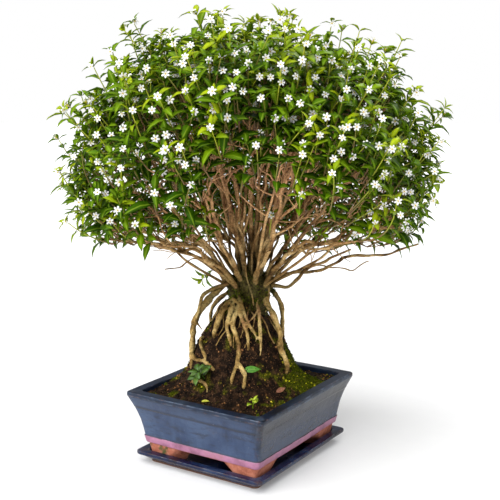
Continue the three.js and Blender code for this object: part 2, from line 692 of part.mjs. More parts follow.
const WEEDS = [
  { name: 'weed', spot: [-43, 48], length: 17, nodes: 2, sizes: [0.62, 0.5], color: 0x2f6b33 },
  { name: 'seedling', spot: [11, 87], length: 14, nodes: 1, sizes: [0.42, 0.34], color: 0xa8c83a },
];
const weedHoles = [];
WEEDS.forEach(({ name, spot, length, nodes, sizes, color }) => {
  const up = slopeUp(...spot).lerp(UP, 0.3).normalize();
  const foot = seen([...spot, 0]);
  foot.z = soilHeight(foot.x, foot.y) - 6;
  const settings = { length, turn: 0.5, nodes, blooms: false, sizes, droops: [0.1, 0.2], lean: 0.35 };
  add(name, shoot(foot, up, { ...settings, allowed: clearOfSoil }), color, 0.5);
  const below = foot.clone().addScaledVector(up, -GAP);
  const hole = TWIG_RADIUS + 1;
  weedHoles.push(limb([below, foot.clone().addScaledVector(up, length)], [hole, hole], 6));
});

const soil = whole(soilSurface().intersect(potRoom).subtract(woodRoom).subtract(union(weedHoles))
  .subtract(drainMesh(-DRAIN_Y, GAP)).subtract(drainMesh(DRAIN_Y, GAP))).simplify(SMALLEST);
add('soil', soil, 0x33261c, 0.95);

// ---------------------------------------------------------------- loose leaves on the soil

const LOOSE_LEAVES = [
  { name: 'fallen_leaf_green', spot: [11, 58], turn: 0.1, size: 0.85, color: 0x3f8a34 },
  { name: 'fallen_leaf_brown', spot: [43, 58], turn: 0.9, size: 0.62, color: 0x8a5a3a },
  { name: 'fallen_leaf_yellow', spot: [-42, 74], turn: -0.2, size: 0.4, color: 0xb9b83a },
];

// arched blade with a raised rib, centred on the origin, along X
function looseLeaf(size) {
  const at = (x, y, z) => V((x - 0.5) * size * LEAF_LENGTH, y * size * LEAF_WIDTH, z * size);
  const spots = [at(0, 0, -1), at(0.42, -0.5, 0.6), at(1, 0, -1), at(0.42, 0.5, 0.6), at(0.45, 0, 0)];
  const layer = (lift) => spots.map((p) => p.clone().addScaledVector(UP, lift));
  const points = [...layer(BLADE / 2), ...layer(-BLADE / 2)];
  const faces = [];
  for (let i = 0; i < 4; i += 1) {
    const k = (i + 1) % 4;
    faces.push([i, k, 4], [k + 5, i + 5, 9], [k, i, i + 5], [k, i + 5, k + 5]);
  }
  return fromTriangles(points, faces);
}

function placed(solid, matrix) {
  return solid.transform(matrix.elements);
}

LOOSE_LEAVES.forEach(({ name, spot, turn, size, color }) => {
  const normal = slopeUp(...spot);
  const along = RIGHT_DIR.clone().applyAxisAngle(UP, turn).addScaledVector(normal, 0);
  along.addScaledVector(normal, -along.dot(normal)).normalize();
  const frame = new THREE.Matrix4().makeBasis(along, normal.clone().cross(along), normal);
  const spotAt = seen([...spot, 0]);
  const blade = placed(looseLeaf(size), frame);
  let low = 0;
  let high = 12;
  for (let i = 0; i < 24; i += 1) {
    const lift = (low + high) / 2;
    const at = V(spotAt.x, spotAt.y, soilHeight(spotAt.x, spotAt.y)).addScaledVector(normal, lift);
    if (blade.translate([at.x, at.y, at.z]).minGap(soil, 2) < GAP) low = lift;
    else high = lift;
  }
  const rest = V(spotAt.x, spotAt.y, soilHeight(spotAt.x, spotAt.y)).addScaledVector(normal, high);
  add(name, blade.translate([rest.x, rest.y, rest.z]), color, 0.6);
});

export default part;
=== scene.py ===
import json
import math
import random

import bmesh
import bpy
from mathutils import Matrix, Vector, noise

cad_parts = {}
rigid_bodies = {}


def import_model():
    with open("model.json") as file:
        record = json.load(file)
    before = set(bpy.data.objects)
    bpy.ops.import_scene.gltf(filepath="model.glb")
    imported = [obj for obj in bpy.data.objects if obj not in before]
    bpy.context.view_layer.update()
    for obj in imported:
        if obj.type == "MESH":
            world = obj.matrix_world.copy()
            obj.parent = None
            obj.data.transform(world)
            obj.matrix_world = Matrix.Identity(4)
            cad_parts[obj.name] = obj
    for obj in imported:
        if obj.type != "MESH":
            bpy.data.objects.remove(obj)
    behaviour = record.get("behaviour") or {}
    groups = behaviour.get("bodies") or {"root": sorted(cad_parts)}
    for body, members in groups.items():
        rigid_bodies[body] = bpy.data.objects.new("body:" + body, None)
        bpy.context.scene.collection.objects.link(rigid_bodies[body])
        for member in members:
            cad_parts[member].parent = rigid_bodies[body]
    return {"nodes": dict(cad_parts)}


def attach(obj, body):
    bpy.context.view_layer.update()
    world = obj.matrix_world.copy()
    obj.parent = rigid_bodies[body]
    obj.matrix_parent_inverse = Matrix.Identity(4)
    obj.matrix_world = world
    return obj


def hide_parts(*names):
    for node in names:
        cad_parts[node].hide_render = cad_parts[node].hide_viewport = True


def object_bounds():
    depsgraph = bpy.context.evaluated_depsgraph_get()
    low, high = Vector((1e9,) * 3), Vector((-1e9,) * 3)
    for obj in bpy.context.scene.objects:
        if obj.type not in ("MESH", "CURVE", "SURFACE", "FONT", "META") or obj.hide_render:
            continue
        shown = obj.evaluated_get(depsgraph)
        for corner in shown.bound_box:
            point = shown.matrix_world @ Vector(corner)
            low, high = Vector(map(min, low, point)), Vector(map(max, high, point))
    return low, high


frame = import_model()
cad_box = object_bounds()

# ---------------------------------------------------------------- stand: camera, floor and lamps
# The pot stands on a plain white floor under soft lamps, the strongest to the left of the viewer.
# Places are given as the tree is looked at: to the right, toward the viewer and up, in millimetres.
MM = 0.001
UP = Vector((0, 0, 1))
TURN = math.radians(33)
RIGHT = Vector((math.cos(TURN), math.sin(TURN), 0))
FRONT = Vector((math.sin(TURN), -math.cos(TURN), 0))


def seen(across, toward, height):
    return (RIGHT * across + FRONT * toward + UP * height) * MM


camera_data = bpy.data.cameras.new("studio_camera")
camera_data.sensor_width = 36
camera_data.lens = 66.43
camera_data.clip_start = 0.01
camera = bpy.data.objects.new("studio_camera", camera_data)
camera.location = seen(7.9, 1070.6, 431.6)
camera.rotation_euler = (math.radians(80.28), 0, TURN)
bpy.context.collection.objects.link(camera)
bpy.context.scene.camera = camera
bpy.context.scene.view_settings.view_transform = "Standard"


def wired(tree, kind, inputs=(), **settings):
    """A new node with its settings made and its inputs set, or linked where the value is a socket."""
    node = tree.nodes.new(kind)
    for name, value in settings.items():
        setattr(node, name, value)
    for key, value in dict(inputs).items():
        if isinstance(value, bpy.types.NodeSocket):
            tree.links.new(value, node.inputs[key])
        else:
            node.inputs[key].default_value = value
    return node


def finish(name):
    """A new material: the material, its tree, its shader, and the place on the piece."""
    made = bpy.data.materials.new(name)
    made.use_nodes = True
    tree = made.node_tree
    tree.nodes.clear()
    shader = tree.nodes.new("ShaderNodeBsdfPrincipled")
    wired(tree, "ShaderNodeOutputMaterial", {"Surface": shader.outputs[0]})
    place = tree.nodes.new("ShaderNodeTexCoord").outputs["Object"]
    return made, tree, shader, place


def ramp(tree, level, *stops):
    """Colour by level: each stop is a position and a colour."""
    node = wired(tree, "ShaderNodeValToRGB", {0: level})
    marks = node.color_ramp.elements
    while len(marks) < len(stops):
        marks.new(0.5)
    for mark, (position, colour) in zip(marks, stops):
        mark.position = position
        mark.color = (*colour, 1)
    return node.outputs[0]


def mixed(tree, level, first, second, blend="MIX"):
    node = wired(tree, "ShaderNodeMix", {0: level, 6: first, 7: second}, data_type="RGBA", blend_type=blend)
    return node.outputs[2]


def between(tree, value, low, high, start=0.0, end=1.0):
    """The value taken from low..high to start..end, and held there outside."""
    node = wired(tree, "ShaderNodeMapRange", {0: value, 1: low, 2: high, 3: start, 4: end})
    return node.outputs[0]


def maths(tree, operation, *values):
    return wired(tree, "ShaderNodeMath", dict(enumerate(values)), operation=operation).outputs[0]


def grain(tree, place, scale, detail=3.0, rough=0.5, stretch=None, bend=0.0):
    """Noise on the piece, stretched along its axes where asked."""
    if stretch:
        place = wired(tree, "ShaderNodeMapping", {0: place, 3: stretch}).outputs[0]
    inputs = {"Vector": place, "Scale": scale, "Detail": detail, "Roughness": rough, "Distortion": bend}
    return wired(tree, "ShaderNodeTexNoise", inputs).outputs[0]


def relief(tree, shader, height, depth, strength=1.0):
    bump = wired(tree, "ShaderNodeBump", {"Height": height, "Distance": depth, "Strength": strength})
    tree.links.new(bump.outputs[0], shader.inputs["Normal"])


def whole_mesh(name, points, faces, material, smooth=True):
    mesh = bpy.data.meshes.new(name)
    mesh.from_pydata([tuple(p) for p in points], [], faces)
    mesh.materials.append(material)
    mesh.polygons.foreach_set("use_smooth", [smooth] * len(mesh.polygons))
    made = bpy.data.objects.new(name, mesh)
    bpy.context.collection.objects.link(made)
    return made


def floor_disc():
    """A wide round of white paper, a hair's breadth under the saucer."""
    radius, count = 12, 64
    material, tree, shader, place = finish("floor_paper")
    shader.inputs["Roughness"].default_value = 0.9
    shader.inputs["Specular IOR Level"].default_value = 0.1
    fibre = grain(tree, place, 40)
    tree.links.new(ramp(tree, fibre, (0, (0.70, 0.70, 0.705)), (1, (0.73, 0.73, 0.73))),
                   shader.inputs["Base Color"])
    shader.inputs["Emission Color"].default_value = (1, 1, 1, 1)
    shader.inputs["Emission Strength"].default_value = 0.16
    turns = [2 * i / count * math.pi for i in range(count)]
    ring = [Vector((radius * math.cos(turn), radius * math.sin(turn), -0.0002)) for turn in turns]
    return whole_mesh("floor", ring, [list(range(count))], material)


floor_disc()

world = bpy.data.worlds.new("white_room")
world.use_nodes = True
air = world.node_tree
air.nodes.clear()
lit = wired(air, "ShaderNodeBackground", {0: (0.99, 0.99, 1.0, 1), 1: 0.32})
shown = wired(air, "ShaderNodeBackground", {0: (1.0, 1.0, 1.0, 1), 1: 1.0})
ray = wired(air, "ShaderNodeLightPath").outputs["Is Camera Ray"]
both = wired(air, "ShaderNodeMixShader", {0: ray, 1: lit.outputs[0], 2: shown.outputs[0]})
wired(air, "ShaderNodeOutputWorld", {0: both.outputs[0]})
bpy.context.scene.world = world

for name, spot, angle, power in (
    ("key_lamp", seen(-800, 920, 1780), 78, 4.55),
    ("back_lamp", seen(700, -900, 1600), 30, 1.2),
):
    lamp_data = bpy.data.lights.new(name, "SUN")
    lamp_data.angle = math.radians(angle)
    lamp_data.energy = power
    lamp = bpy.data.objects.new(name, lamp_data)
    lamp.location = spot
    lamp.rotation_euler = (seen(0, 0, 240) - spot).to_track_quat("-Z", "Y").to_euler()
    bpy.context.collection.objects.link(lamp)

# ---------------------------------------------------------------- saucer
# A shallow tray pressed from brown clay and dipped in dark blue glaze, which breaks to rust on the
# edges. Its foot is wiped bare, and it stands on that foot. A profile runs from the foot round to the
# inside: how far in from the edge of the pot's rim, and how high.
RIM_X = 94.5
RIM_Y = 107.5
HAND_WOBBLE_SEED = 3  # clay and wood are a little uneven, the same way every time
noise.seed_set(HAND_WOBBLE_SEED)


def note(mesh, name, values):
    """A number for each point of a mesh, kept under a name for finishes and trees to read."""
    mesh.attributes.new(name, "FLOAT", "POINT").data.foreach_set("value", values)


def noted(tree, name, out="Fac"):
    """What is noted on the mesh under that name, as a finish reads it."""
    return wired(tree, "ShaderNodeAttribute", attribute_name=name).outputs[out]


def eased(profile, radius, steps=4):
    """The profile with its corners rounded."""
    made = [Vector(profile[0])]
    for before, corner, after in zip(profile, profile[1:], profile[2:]):
        before, corner, after = Vector(before), Vector(corner), Vector(after)
        cut = min(radius, 0.45 * (before - corner).length, 0.45 * (after - corner).length)
        start = corner + (before - corner).normalized() * cut
        end = corner + (after - corner).normalized() * cut
        for i in range(steps + 1):
            t = i / steps
            made.append(start * (1 - t) ** 2 + corner * 2 * t * (1 - t) + end * t ** 2)
    made.append(Vector(profile[-1]))
    return made


def framed_ring(inset, height, corner, arc=6, along=34):
    """Points round a rectangle with round corners, and how near each is to a corner."""
    points = []
    half = (RIM_X - inset, RIM_Y - inset)
    for quarter in range(4):
        middle = Vector(((half[0] - corner) * (1 if quarter in (0, 3) else -1),
                         (half[1] - corner) * (1 if quarter < 2 else -1)))
        arc_points = []
        for i in range(arc + 1):
            angle = math.pi / 2 * (quarter + i / arc)
            arc_points.append(middle + corner * Vector((math.cos(angle), math.sin(angle))))
        if points:
            start = points[-1][0]
            for i in range(1, along):
                points.append((start.lerp(arc_points[0], i / along), 0.0))
        points += [(p, 1.0) for p in arc_points]
    start = points[-1][0]
    for i in range(1, along):
        points.append((start.lerp(points[0][0], i / along), 0.0))
    return [((p.x, p.y, height), near) for p, near in points]


def framed_loft(name, profile, corners, brinks, material, wobble):
    """Rectangular vessel: rings down the profile, closed by a flat face at both ends. Its note brink
    is 1 along edges, where glaze runs thin and where highlights are painted."""
    points, brink, faces = [], [], []
    for (inset, height), corner, edge in zip(profile, corners, brinks):
        for place, near in framed_ring(inset, height, corner):
            p = Vector(place)
            shift = noise.noise_vector(p * 0.018) * wobble
            shift.z *= 0.5
            points.append((p + shift * min(1, height / 3)) * MM)
            brink.append(max(edge, 0.6 * near))
    count = len(points) // len(profile)
    for i in range(len(profile) - 1):
        for j in range(count):
            k = (j + 1) % count
            faces.append((i * count + j, i * count + k, (i + 1) * count + k, (i + 1) * count + j))
    faces.append(tuple(range(count))[::-1])
    faces.append(tuple(range((len(profile) - 1) * count, len(profile) * count)))
    made = whole_mesh(name, points, faces, material)
    note(made.data, "brink", brink)
    return made


def edge_of(profile, sharp):
    """1 on the points of a profile that lie at one of the sharp places, and less around it."""
    return [max(math.exp(-((p - Vector(s)).length / 1.1) ** 2) for s in sharp) for p in profile]


saucer_glaze, tree, shader, place = finish("saucer_glaze")
height = wired(tree, "ShaderNodeSeparateXYZ", {0: place}).outputs[2]
brink = noted(tree, "brink")
cloud = grain(tree, place, 28, 5, 0.6, bend=0.4)
speck = grain(tree, place, 900, 2)
deep = ramp(tree, cloud, (0.36, (0.002, 0.003, 0.010)), (0.52, (0.004, 0.010, 0.045)),
            (0.66, (0.020, 0.040, 0.095)))
rust = ramp(tree, speck, (0.3, (0.014, 0.007, 0.004)), (0.7, (0.11, 0.045, 0.016)))
worn = between(tree, grain(tree, place, 160, 4), 0.42, 0.60)
thin = maths(tree, "MULTIPLY", between(tree, brink, 0.40, 0.95), worn)
clay = ramp(tree, speck, (0.3, (0.10, 0.045, 0.025)), (0.7, (0.20, 0.10, 0.06)))
foot = between(tree, maths(tree, "ADD", height, maths(tree, "MULTIPLY", cloud, 0.003)), 0.0035, 0.0045, 1, 0)
# Painted highlights: pale blue glints in patches along the saucer's edges.
glint_patches = between(tree, grain(tree, place, 70, 5, 0.7, bend=0.8), 0.48, 0.66)
painted_glint = maths(tree, "MULTIPLY", between(tree, brink, 0.45, 0.95, 0, 0.6), glint_patches)
deep = mixed(tree, painted_glint, mixed(tree, thin, deep, rust), (0.22, 0.27, 0.34, 1))
tree.links.new(mixed(tree, foot, deep, clay), shader.inputs["Base Color"])
tree.links.new(between(tree, foot, 0, 1, 0.22, 0.75), shader.inputs["Roughness"])
shader.inputs["Specular IOR Level"].default_value = 0.34
relief(tree, shader, grain(tree, place, 220, 3), 0.0004, 0.5)

SAUCER = [(60, 0), (19.6, 0), (19.2, 3), (10.6, 9.6), (7.2, 10.8), (7.2, 14.9), (17.5, 14.9), (20.5, 5),
          (60, 5)]
SAUCER_EDGES = [(7.2, 14.9), (17.5, 14.9), (7.2, 10.8)]
saucer_profile = eased(SAUCER, 1.3)
saucer = framed_loft("tray", saucer_profile, [6 if p.x < 21 else 5 for p in saucer_profile],
                     edge_of(saucer_profile, SAUCER_EDGES), saucer_glaze, 0.25)
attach(saucer, "root")
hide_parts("saucer")

# ---------------------------------------------------------------- pot
# A rectangular bonsai pot pressed in a mould and fired in one piece: slate-blue glaze over red clay, a
# lilac band round its foot, four bare clay bracket feet. The glaze is thin on edges, thick under the rim.
# Painted shade darkens the recess below the rim band and the right face; painted highlights catch the edges.
POT = [(60, 24.4), (16, 24.4), (15.2, 25.4), (13.6, 33), (14.3, 33.8), (12.8, 43), (10.9, 53), (8.6, 61),
       (6.4, 68), (5.7, 69.2), (4.5, 72.6), (2.6, 77), (0.7, 81.6), (0, 83.4), (0, 86.6), (0.9, 87.6),
       (12.4, 87.6), (13.4, 86), (14, 80), (17.5, 58), (20, 42), (22.5, 32), (60, 32)]
POT_EDGES = [(0, 83.4), (0.3, 87.2), (13, 87.3)]
BARE_TOP = (0.0246, 0.0254)  # these four in metres, as a finish reads places
LILAC_TOP = (0.0329, 0.0334)
RIM_FOOT = (0.0810, 0.0832)
FOOT_SMEAR = (-0.054, -0.087, 0.018)

pot_glaze, tree, shader, place = finish("pot_glaze")
split = wired(tree, "ShaderNodeSeparateXYZ", {0: place}).outputs
brink = noted(tree, "brink")
cloud = grain(tree, place, 22, 6, 0.62, bend=0.6)
streak = grain(tree, place, 34, 5, 0.6, stretch=(1, 1, 0.16))
wave = grain(tree, place, 75, 5, 0.65, stretch=(0.5, 0.5, 2.2), bend=0.8)
slate = ramp(tree, cloud, (0.28, (0.010, 0.018, 0.042)), (0.46, (0.022, 0.044, 0.105)),
             (0.6, (0.037, 0.064, 0.135)), (0.76, (0.070, 0.068, 0.090)))
slate = mixed(tree, between(tree, streak, 0.44, 0.62, 0, 0.55), slate, (0.055, 0.094, 0.180, 1))
slate = mixed(tree, between(tree, wave, 0.52, 0.68, 0, 0.6), slate, (0.018, 0.018, 0.026, 1))
# Painted shade: the right face is darkened toward grey-black.
slate = mixed(tree, between(tree, split[0], 0.076, 0.090, 0, 0.92), slate, (0.011, 0.011, 0.012, 1))
# Painted shade: a dark line in the recess below the rim band.
recess_shade = maths(tree, "MULTIPLY", between(tree, split[2], 0.0665, 0.0685),
               between(tree, split[2], 0.0695, 0.0725, 1, 0))
slate = mixed(tree, maths(tree, "MULTIPLY", recess_shade, 0.7), slate, (0.010, 0.011, 0.018, 1))
pinholes = between(tree, grain(tree, place, 520, 3, 0.6), 0.66, 0.72, 0, 0.75)
slate = mixed(tree, pinholes, slate, (0.006, 0.006, 0.010, 1))
glints = between(tree, grain(tree, place, 380, 4, 0.7), 0.64, 0.72, 0, 0.5)
slate = mixed(tree, glints, slate, (0.16, 0.19, 0.26, 1))
runs = maths(tree, "ADD", split[2], between(tree, streak, 0.35, 0.65, -0.004, 0.004))
slate = mixed(tree, between(tree, runs, 0.072, 0.082, 0, 0.42), slate, (0.007, 0.019, 0.050, 1))
rim_shade = between(tree, split[2], *RIM_FOOT)
navy = ramp(tree, wave, (0.3, (0.002, 0.004, 0.009)), (0.52, (0.005, 0.014, 0.038)),
            (0.66, (0.020, 0.038, 0.075)))
slate = mixed(tree, maths(tree, "MULTIPLY", rim_shade, 0.93), slate, navy)
rust = ramp(tree, grain(tree, place, 420, 4), (0.35, (0.035, 0.018, 0.014)), (0.65, (0.16, 0.06, 0.035)))
patchy = between(tree, grain(tree, place, 90, 5, 0.7), 0.50, 0.64)
slate = mixed(tree, maths(tree, "MULTIPLY", between(tree, brink, 0.4, 1.05, 0, 0.8), patchy), slate, rust)
# Painted highlights: pale blue glints in patches along the pot's edges and corners.
glint_patches = between(tree, grain(tree, place, 64, 5, 0.7, bend=0.8), 0.47, 0.66)
painted_glint = maths(tree, "MULTIPLY", between(tree, brink, 0.3, 0.95, 0, 0.55), glint_patches)
slate = mixed(tree, painted_glint, slate, (0.15, 0.21, 0.31, 1))
cells = wired(tree, "ShaderNodeTexVoronoi", {"Vector": place, "Scale": 230.0}, feature="DISTANCE_TO_EDGE")
craze = maths(tree, "MULTIPLY", between(tree, cells.outputs[0], 0.0, 0.03, 1, 0),
              between(tree, grain(tree, place, 30, 2), 0.5, 0.65, 0, 0.35))
slate = mixed(tree, craze, slate, (0.02, 0.02, 0.03, 1))
lilac = ramp(tree, grain(tree, place, 60, 5, 0.6), (0.3, (0.24, 0.095, 0.150)), (0.55, (0.44, 0.19, 0.31)),
             (0.8, (0.36, 0.16, 0.16)))
clay = ramp(tree, grain(tree, place, 130, 6, 0.65), (0.3, (0.30, 0.085, 0.050)), (0.52, (0.56, 0.19, 0.115)),
            (0.75, (0.68, 0.32, 0.22)))
mould = between(tree, grain(tree, place, 50, 4, 0.6), 0.62, 0.7, 0, 0.8)
smear = wired(tree, "ShaderNodeVectorMath", {0: place, 1: FOOT_SMEAR}, operation="DISTANCE")
ragged = between(tree, grain(tree, place, 170, 4), 0.35, 0.65, -0.004, 0.004)
smear = maths(tree, "ADD", smear.outputs["Value"], ragged)
mould = maths(tree, "MAXIMUM", mould, between(tree, smear, 0.003, 0.008, 0.9, 0))
clay = mixed(tree, mould, clay, (0.07, 0.11, 0.03, 1))
level = maths(tree, "ADD", split[2], between(tree, wave, 0.3, 0.7, -0.0006, 0.0006))
seam = maths(tree, "MULTIPLY", between(tree, level, 0.0325, 0.0333),
             between(tree, level, 0.0340, 0.0350, 1, 0))
slate = mixed(tree, maths(tree, "MULTIPLY", seam, 0.6), slate, (0.03, 0.018, 0.02, 1))
band = between(tree, level, *LILAC_TOP)
bare = between(tree, level, *BARE_TOP)
tree.links.new(mixed(tree, bare, clay, mixed(tree, band, lilac, slate)), shader.inputs["Base Color"])
glazed = maths(tree, "MAXIMUM", between(tree, cloud, 0.3, 0.7, 0.14, 0.28),
               between(tree, rim_shade, 0, 1, 0, 0.42))
gloss = mixed(tree, band, (0.42, 0.42, 0.42, 1), glazed)
tree.links.new(mixed(tree, bare, (0.8, 0.8, 0.8, 1), gloss), shader.inputs["Roughness"])
waves = maths(tree, "MULTIPLY", grain(tree, place, 34, 3), 2.5)
shader.inputs["Specular IOR Level"].default_value = 0.38
relief(tree, shader, maths(tree, "ADD", grain(tree, place, 180, 4), waves), 0.0005, 0.45)

pot_profile = eased(POT, 1.1, 3)
pot_body = framed_loft("pot_body", pot_profile, [5 if p.x < 13 or p.y < 35 else 4 for p in pot_profile],
                       edge_of(pot_profile, POT_EDGES), pot_glaze, 0.7)

DRAIN_PLACE = 42
DRAIN_RADIUS = 9
drill = bmesh.new()
for y in (-DRAIN_PLACE, DRAIN_PLACE):
    bmesh.ops.create_cone(drill, cap_ends=True, segments=28, radius1=DRAIN_RADIUS * MM,
                          radius2=DRAIN_RADIUS * MM, depth=30 * MM,
                          matrix=Matrix.Translation((0, y * MM, 28 * MM)))
drill_mesh = bpy.data.meshes.new("drill")
drill.to_mesh(drill_mesh)
drill_piece = bpy.data.objects.new("drill", drill_mesh)
bpy.context.collection.objects.link(drill_piece)
cut = pot_body.modifiers.new("drain holes", "BOOLEAN")
cut.operation = "DIFFERENCE"
cut.object = drill_piece


def bracket_foot(sign_x, sign_y):
    """An angle foot: its section is swept from the end of one leg round the corner to the other. Each
    leg is 25 mm long at the bottom and 46 mm where it joins the pot."""
    bottom, tall = 5.3, 20.7
    wall = eased([(23.5, bottom), (22.6, 6.6), (21, 8.5), (19.6, 15), (17.5, 26)], 3.4, 4)
    inner = [Vector((30, 26)), Vector((34, 16)), Vector((36.2, 7)), Vector((35.2, bottom))]
    section = wall + inner
    points, faces = [], []
    stations = 27
    bend = 0.26
    for i in range(stations):
        t = i / (stations - 1)
        leg = (t - 0.5) * 2
        for p in section:
            lift = (p.y - bottom) / tall
            length = 25 + 21 * lift ** 1.25
            swing = 5 - 0.14 * (p.x - 17.5)
            flat = Vector((RIM_X - p.x, RIM_Y - p.x))
            if abs(leg) < bend:
                angle = math.pi / 4 * (1 + leg / bend)
                spot = flat - Vector((swing, swing)) + swing * Vector((math.cos(angle), math.sin(angle)))
            else:
                far = (abs(leg) - bend) / (1 - bend) * (length - swing)
                if leg < 0:
                    spot = Vector((flat.x, flat.y - swing - far))
                else:
                    spot = Vector((flat.x - swing - far, flat.y))
            q = Vector((spot.x * sign_x, spot.y * sign_y, p.y))
            points.append((q + noise.noise_vector(q * 0.06) * 0.5) * MM)
    n = len(section)
    for i in range(stations - 1):
        for j in range(n):
            k = (j + 1) % n
            faces.append((i * n + j, i * n + k, (i + 1) * n + k, (i + 1) * n + j))
    faces.append(tuple(range(n))[::-1])
    faces.append(tuple(range((stations - 1) * n, stations * n)))
    return whole_mesh("foot", points, faces, pot_glaze)


def joined(name, pieces):
    """One mesh of several pieces, with their modifiers applied and faces turned outward."""
    depsgraph = bpy.context.evaluated_depsgraph_get()
    melted = bmesh.new()
    materials = []
    for piece in pieces:
        plain = bpy.data.meshes.new_from_object(piece.evaluated_get(depsgraph))
        start = len(materials)
        for material in plain.materials:
            materials.append(material)
        for face in plain.polygons:
            face.material_index += start
        melted.from_mesh(plain)
        bpy.data.objects.remove(piece)
    kept = list(dict.fromkeys(materials))
    for face in melted.faces:
        face.material_index = kept.index(materials[face.material_index])
    bmesh.ops.recalc_face_normals(melted, faces=melted.faces)
    mesh = bpy.data.meshes.new(name)
    melted.to_mesh(mesh)
    for material in kept:
        mesh.materials.append(material)
    made = bpy.data.objects.new(name, mesh)
    bpy.context.collection.objects.link(made)
    return made


feet = [bracket_foot(sx, sy) for sx in (-1, 1) for sy in (-1, 1)]
pot = joined("bonsai_pot", [pot_body, *feet])
pot.data.set_sharp_from_angle(angle=math.radians(55))
bpy.data.objects.remove(drill_piece)
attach(pot, "root")
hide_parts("pot")

# ---------------------------------------------------------------- drain meshes
# Two squares of black plastic net, cut from a sheet. They lie loose over the drain holes, under the
# soil, and hold it back when the pot is watered.
net_plastic, tree, shader, place = finish("net_plastic")
black = ramp(tree, grain(tree, place, 300), (0.3, (0.008, 0.008, 0.009)), (0.7, (0.025, 0.025, 0.027)))
tree.links.new(black, shader.inputs["Base Color"])
shader.inputs["Roughness"].default_value = 0.6
relief(tree, shader, grain(tree, place, 1500), 0.0001)
for name in ("drain_mesh_1", "drain_mesh_2"):
    net = frame["nodes"][name]
    net.data.materials.clear()
    net.data.materials.append(net_plastic)

# ---------------------------------------------------------------- soil
# Dark crumbly potting soil, heaped into a steep mound under the roots and pressed level at the rim.
# The bed is one lump; the loose crumbs that lie on it are scattered over its surface. The mound's
# places are how far from its middle, and how high.
MOUND = ((0, 190), (22, 187), (30, 173), (37, 160), (45, 149), (52, 139), (58, 123), (65, 107), (72, 97),
         (80, 89), (90, 85), (101, 83.5), (140, 83.5))
MOUND_ACROSS = -2


def soil_height(across, toward):
    """Height of the soil without its crumbs, in millimetres."""
    radius = math.hypot(across - MOUND_ACROSS, toward)
    for (r0, z0), (r1, z1) in zip(MOUND, MOUND[1:]):
        if r0 <= radius < r1:
            return z0 + (z1 - z0) * (radius - r0) / (r1 - r0)
    return MOUND[-1][1]


def seen_from_above(x, y):
    """How far to the right and toward the viewer a place of the pot lies, in millimetres."""
    return x * RIGHT.x + y * RIGHT.y, x * FRONT.x + y * FRONT.y


WEED_SPOT = (-43, 48)
SEEDLING_SPOT = (11, 87)
GREEN_LEAF_SPOT = (11, 58)
BROWN_LEAF_SPOT = (43, 58)
YELLOW_LEAF_SPOT = (-42, 74)
SMOOTH_SPOTS = (GREEN_LEAF_SPOT, BROWN_LEAF_SPOT, YELLOW_LEAF_SPOT, WEED_SPOT, SEEDLING_SPOT)

soil_earth, tree, shader, place = finish("soil_earth")
clump = grain(tree, place, 130, 6, 0.7)
fleck = grain(tree, place, 620, 3, 0.6)
earth = ramp(tree, clump, (0.34, (0.002, 0.0013, 0.0008)), (0.5, (0.011, 0.006, 0.003)),
             (0.66, (0.055, 0.031, 0.016)))
earth = mixed(tree, between(tree, fleck, 0.62, 0.70, 0, 0.8), earth, (0.22, 0.13, 0.07, 1))
mossy = noted(tree, "mossy")
algae = ramp(tree, fleck, (0.35, (0.016, 0.022, 0.002)), (0.65, (0.16, 0.18, 0.008)))
earth = mixed(tree, mossy, earth, algae)
tone = noted(tree, "tone")
bits = ramp(tree, tone, (0.0, (0.2, 0.2, 0.2)), (0.5, (1.5, 1.3, 1.2)), (0.75, (4.5, 3.6, 2.7)),
            (0.95, (11, 9, 6.2)))
tree.links.new(mixed(tree, 1.0, earth, bits, "MULTIPLY"), shader.inputs["Base Color"])
shader.inputs["Roughness"].default_value = 0.85
shader.inputs["Specular IOR Level"].default_value = 0.12
relief(tree, shader, maths(tree, "ADD", clump, fleck), 0.0012, 0.8)


def moss_share(place):
    """How thick moss grows on the soil there: most on the right and round the trunk, else in patches."""
    across, toward = seen_from_above(place.x / MM, place.y / MM)
    right = 1.08 - math.hypot((across - 80) / 56, (toward - 18) / 60)
    crest = 0.30 - math.hypot(across - 4, toward) / 60
    left = 0.22 - math.hypot(across + 50, toward - 52) / 34
    bare = -0.30 if across > 0 else -0.42
    steep = 0.9 * max(0, soil_height(across, toward) - 98) / 40
    patchy = 0.9 * noise.noise(place * 46) + 0.85 * noise.noise(place * 150)
    return min(1, max(0, 1.9 * (max(right - steep, crest, left, bare) + patchy) + 0.05))


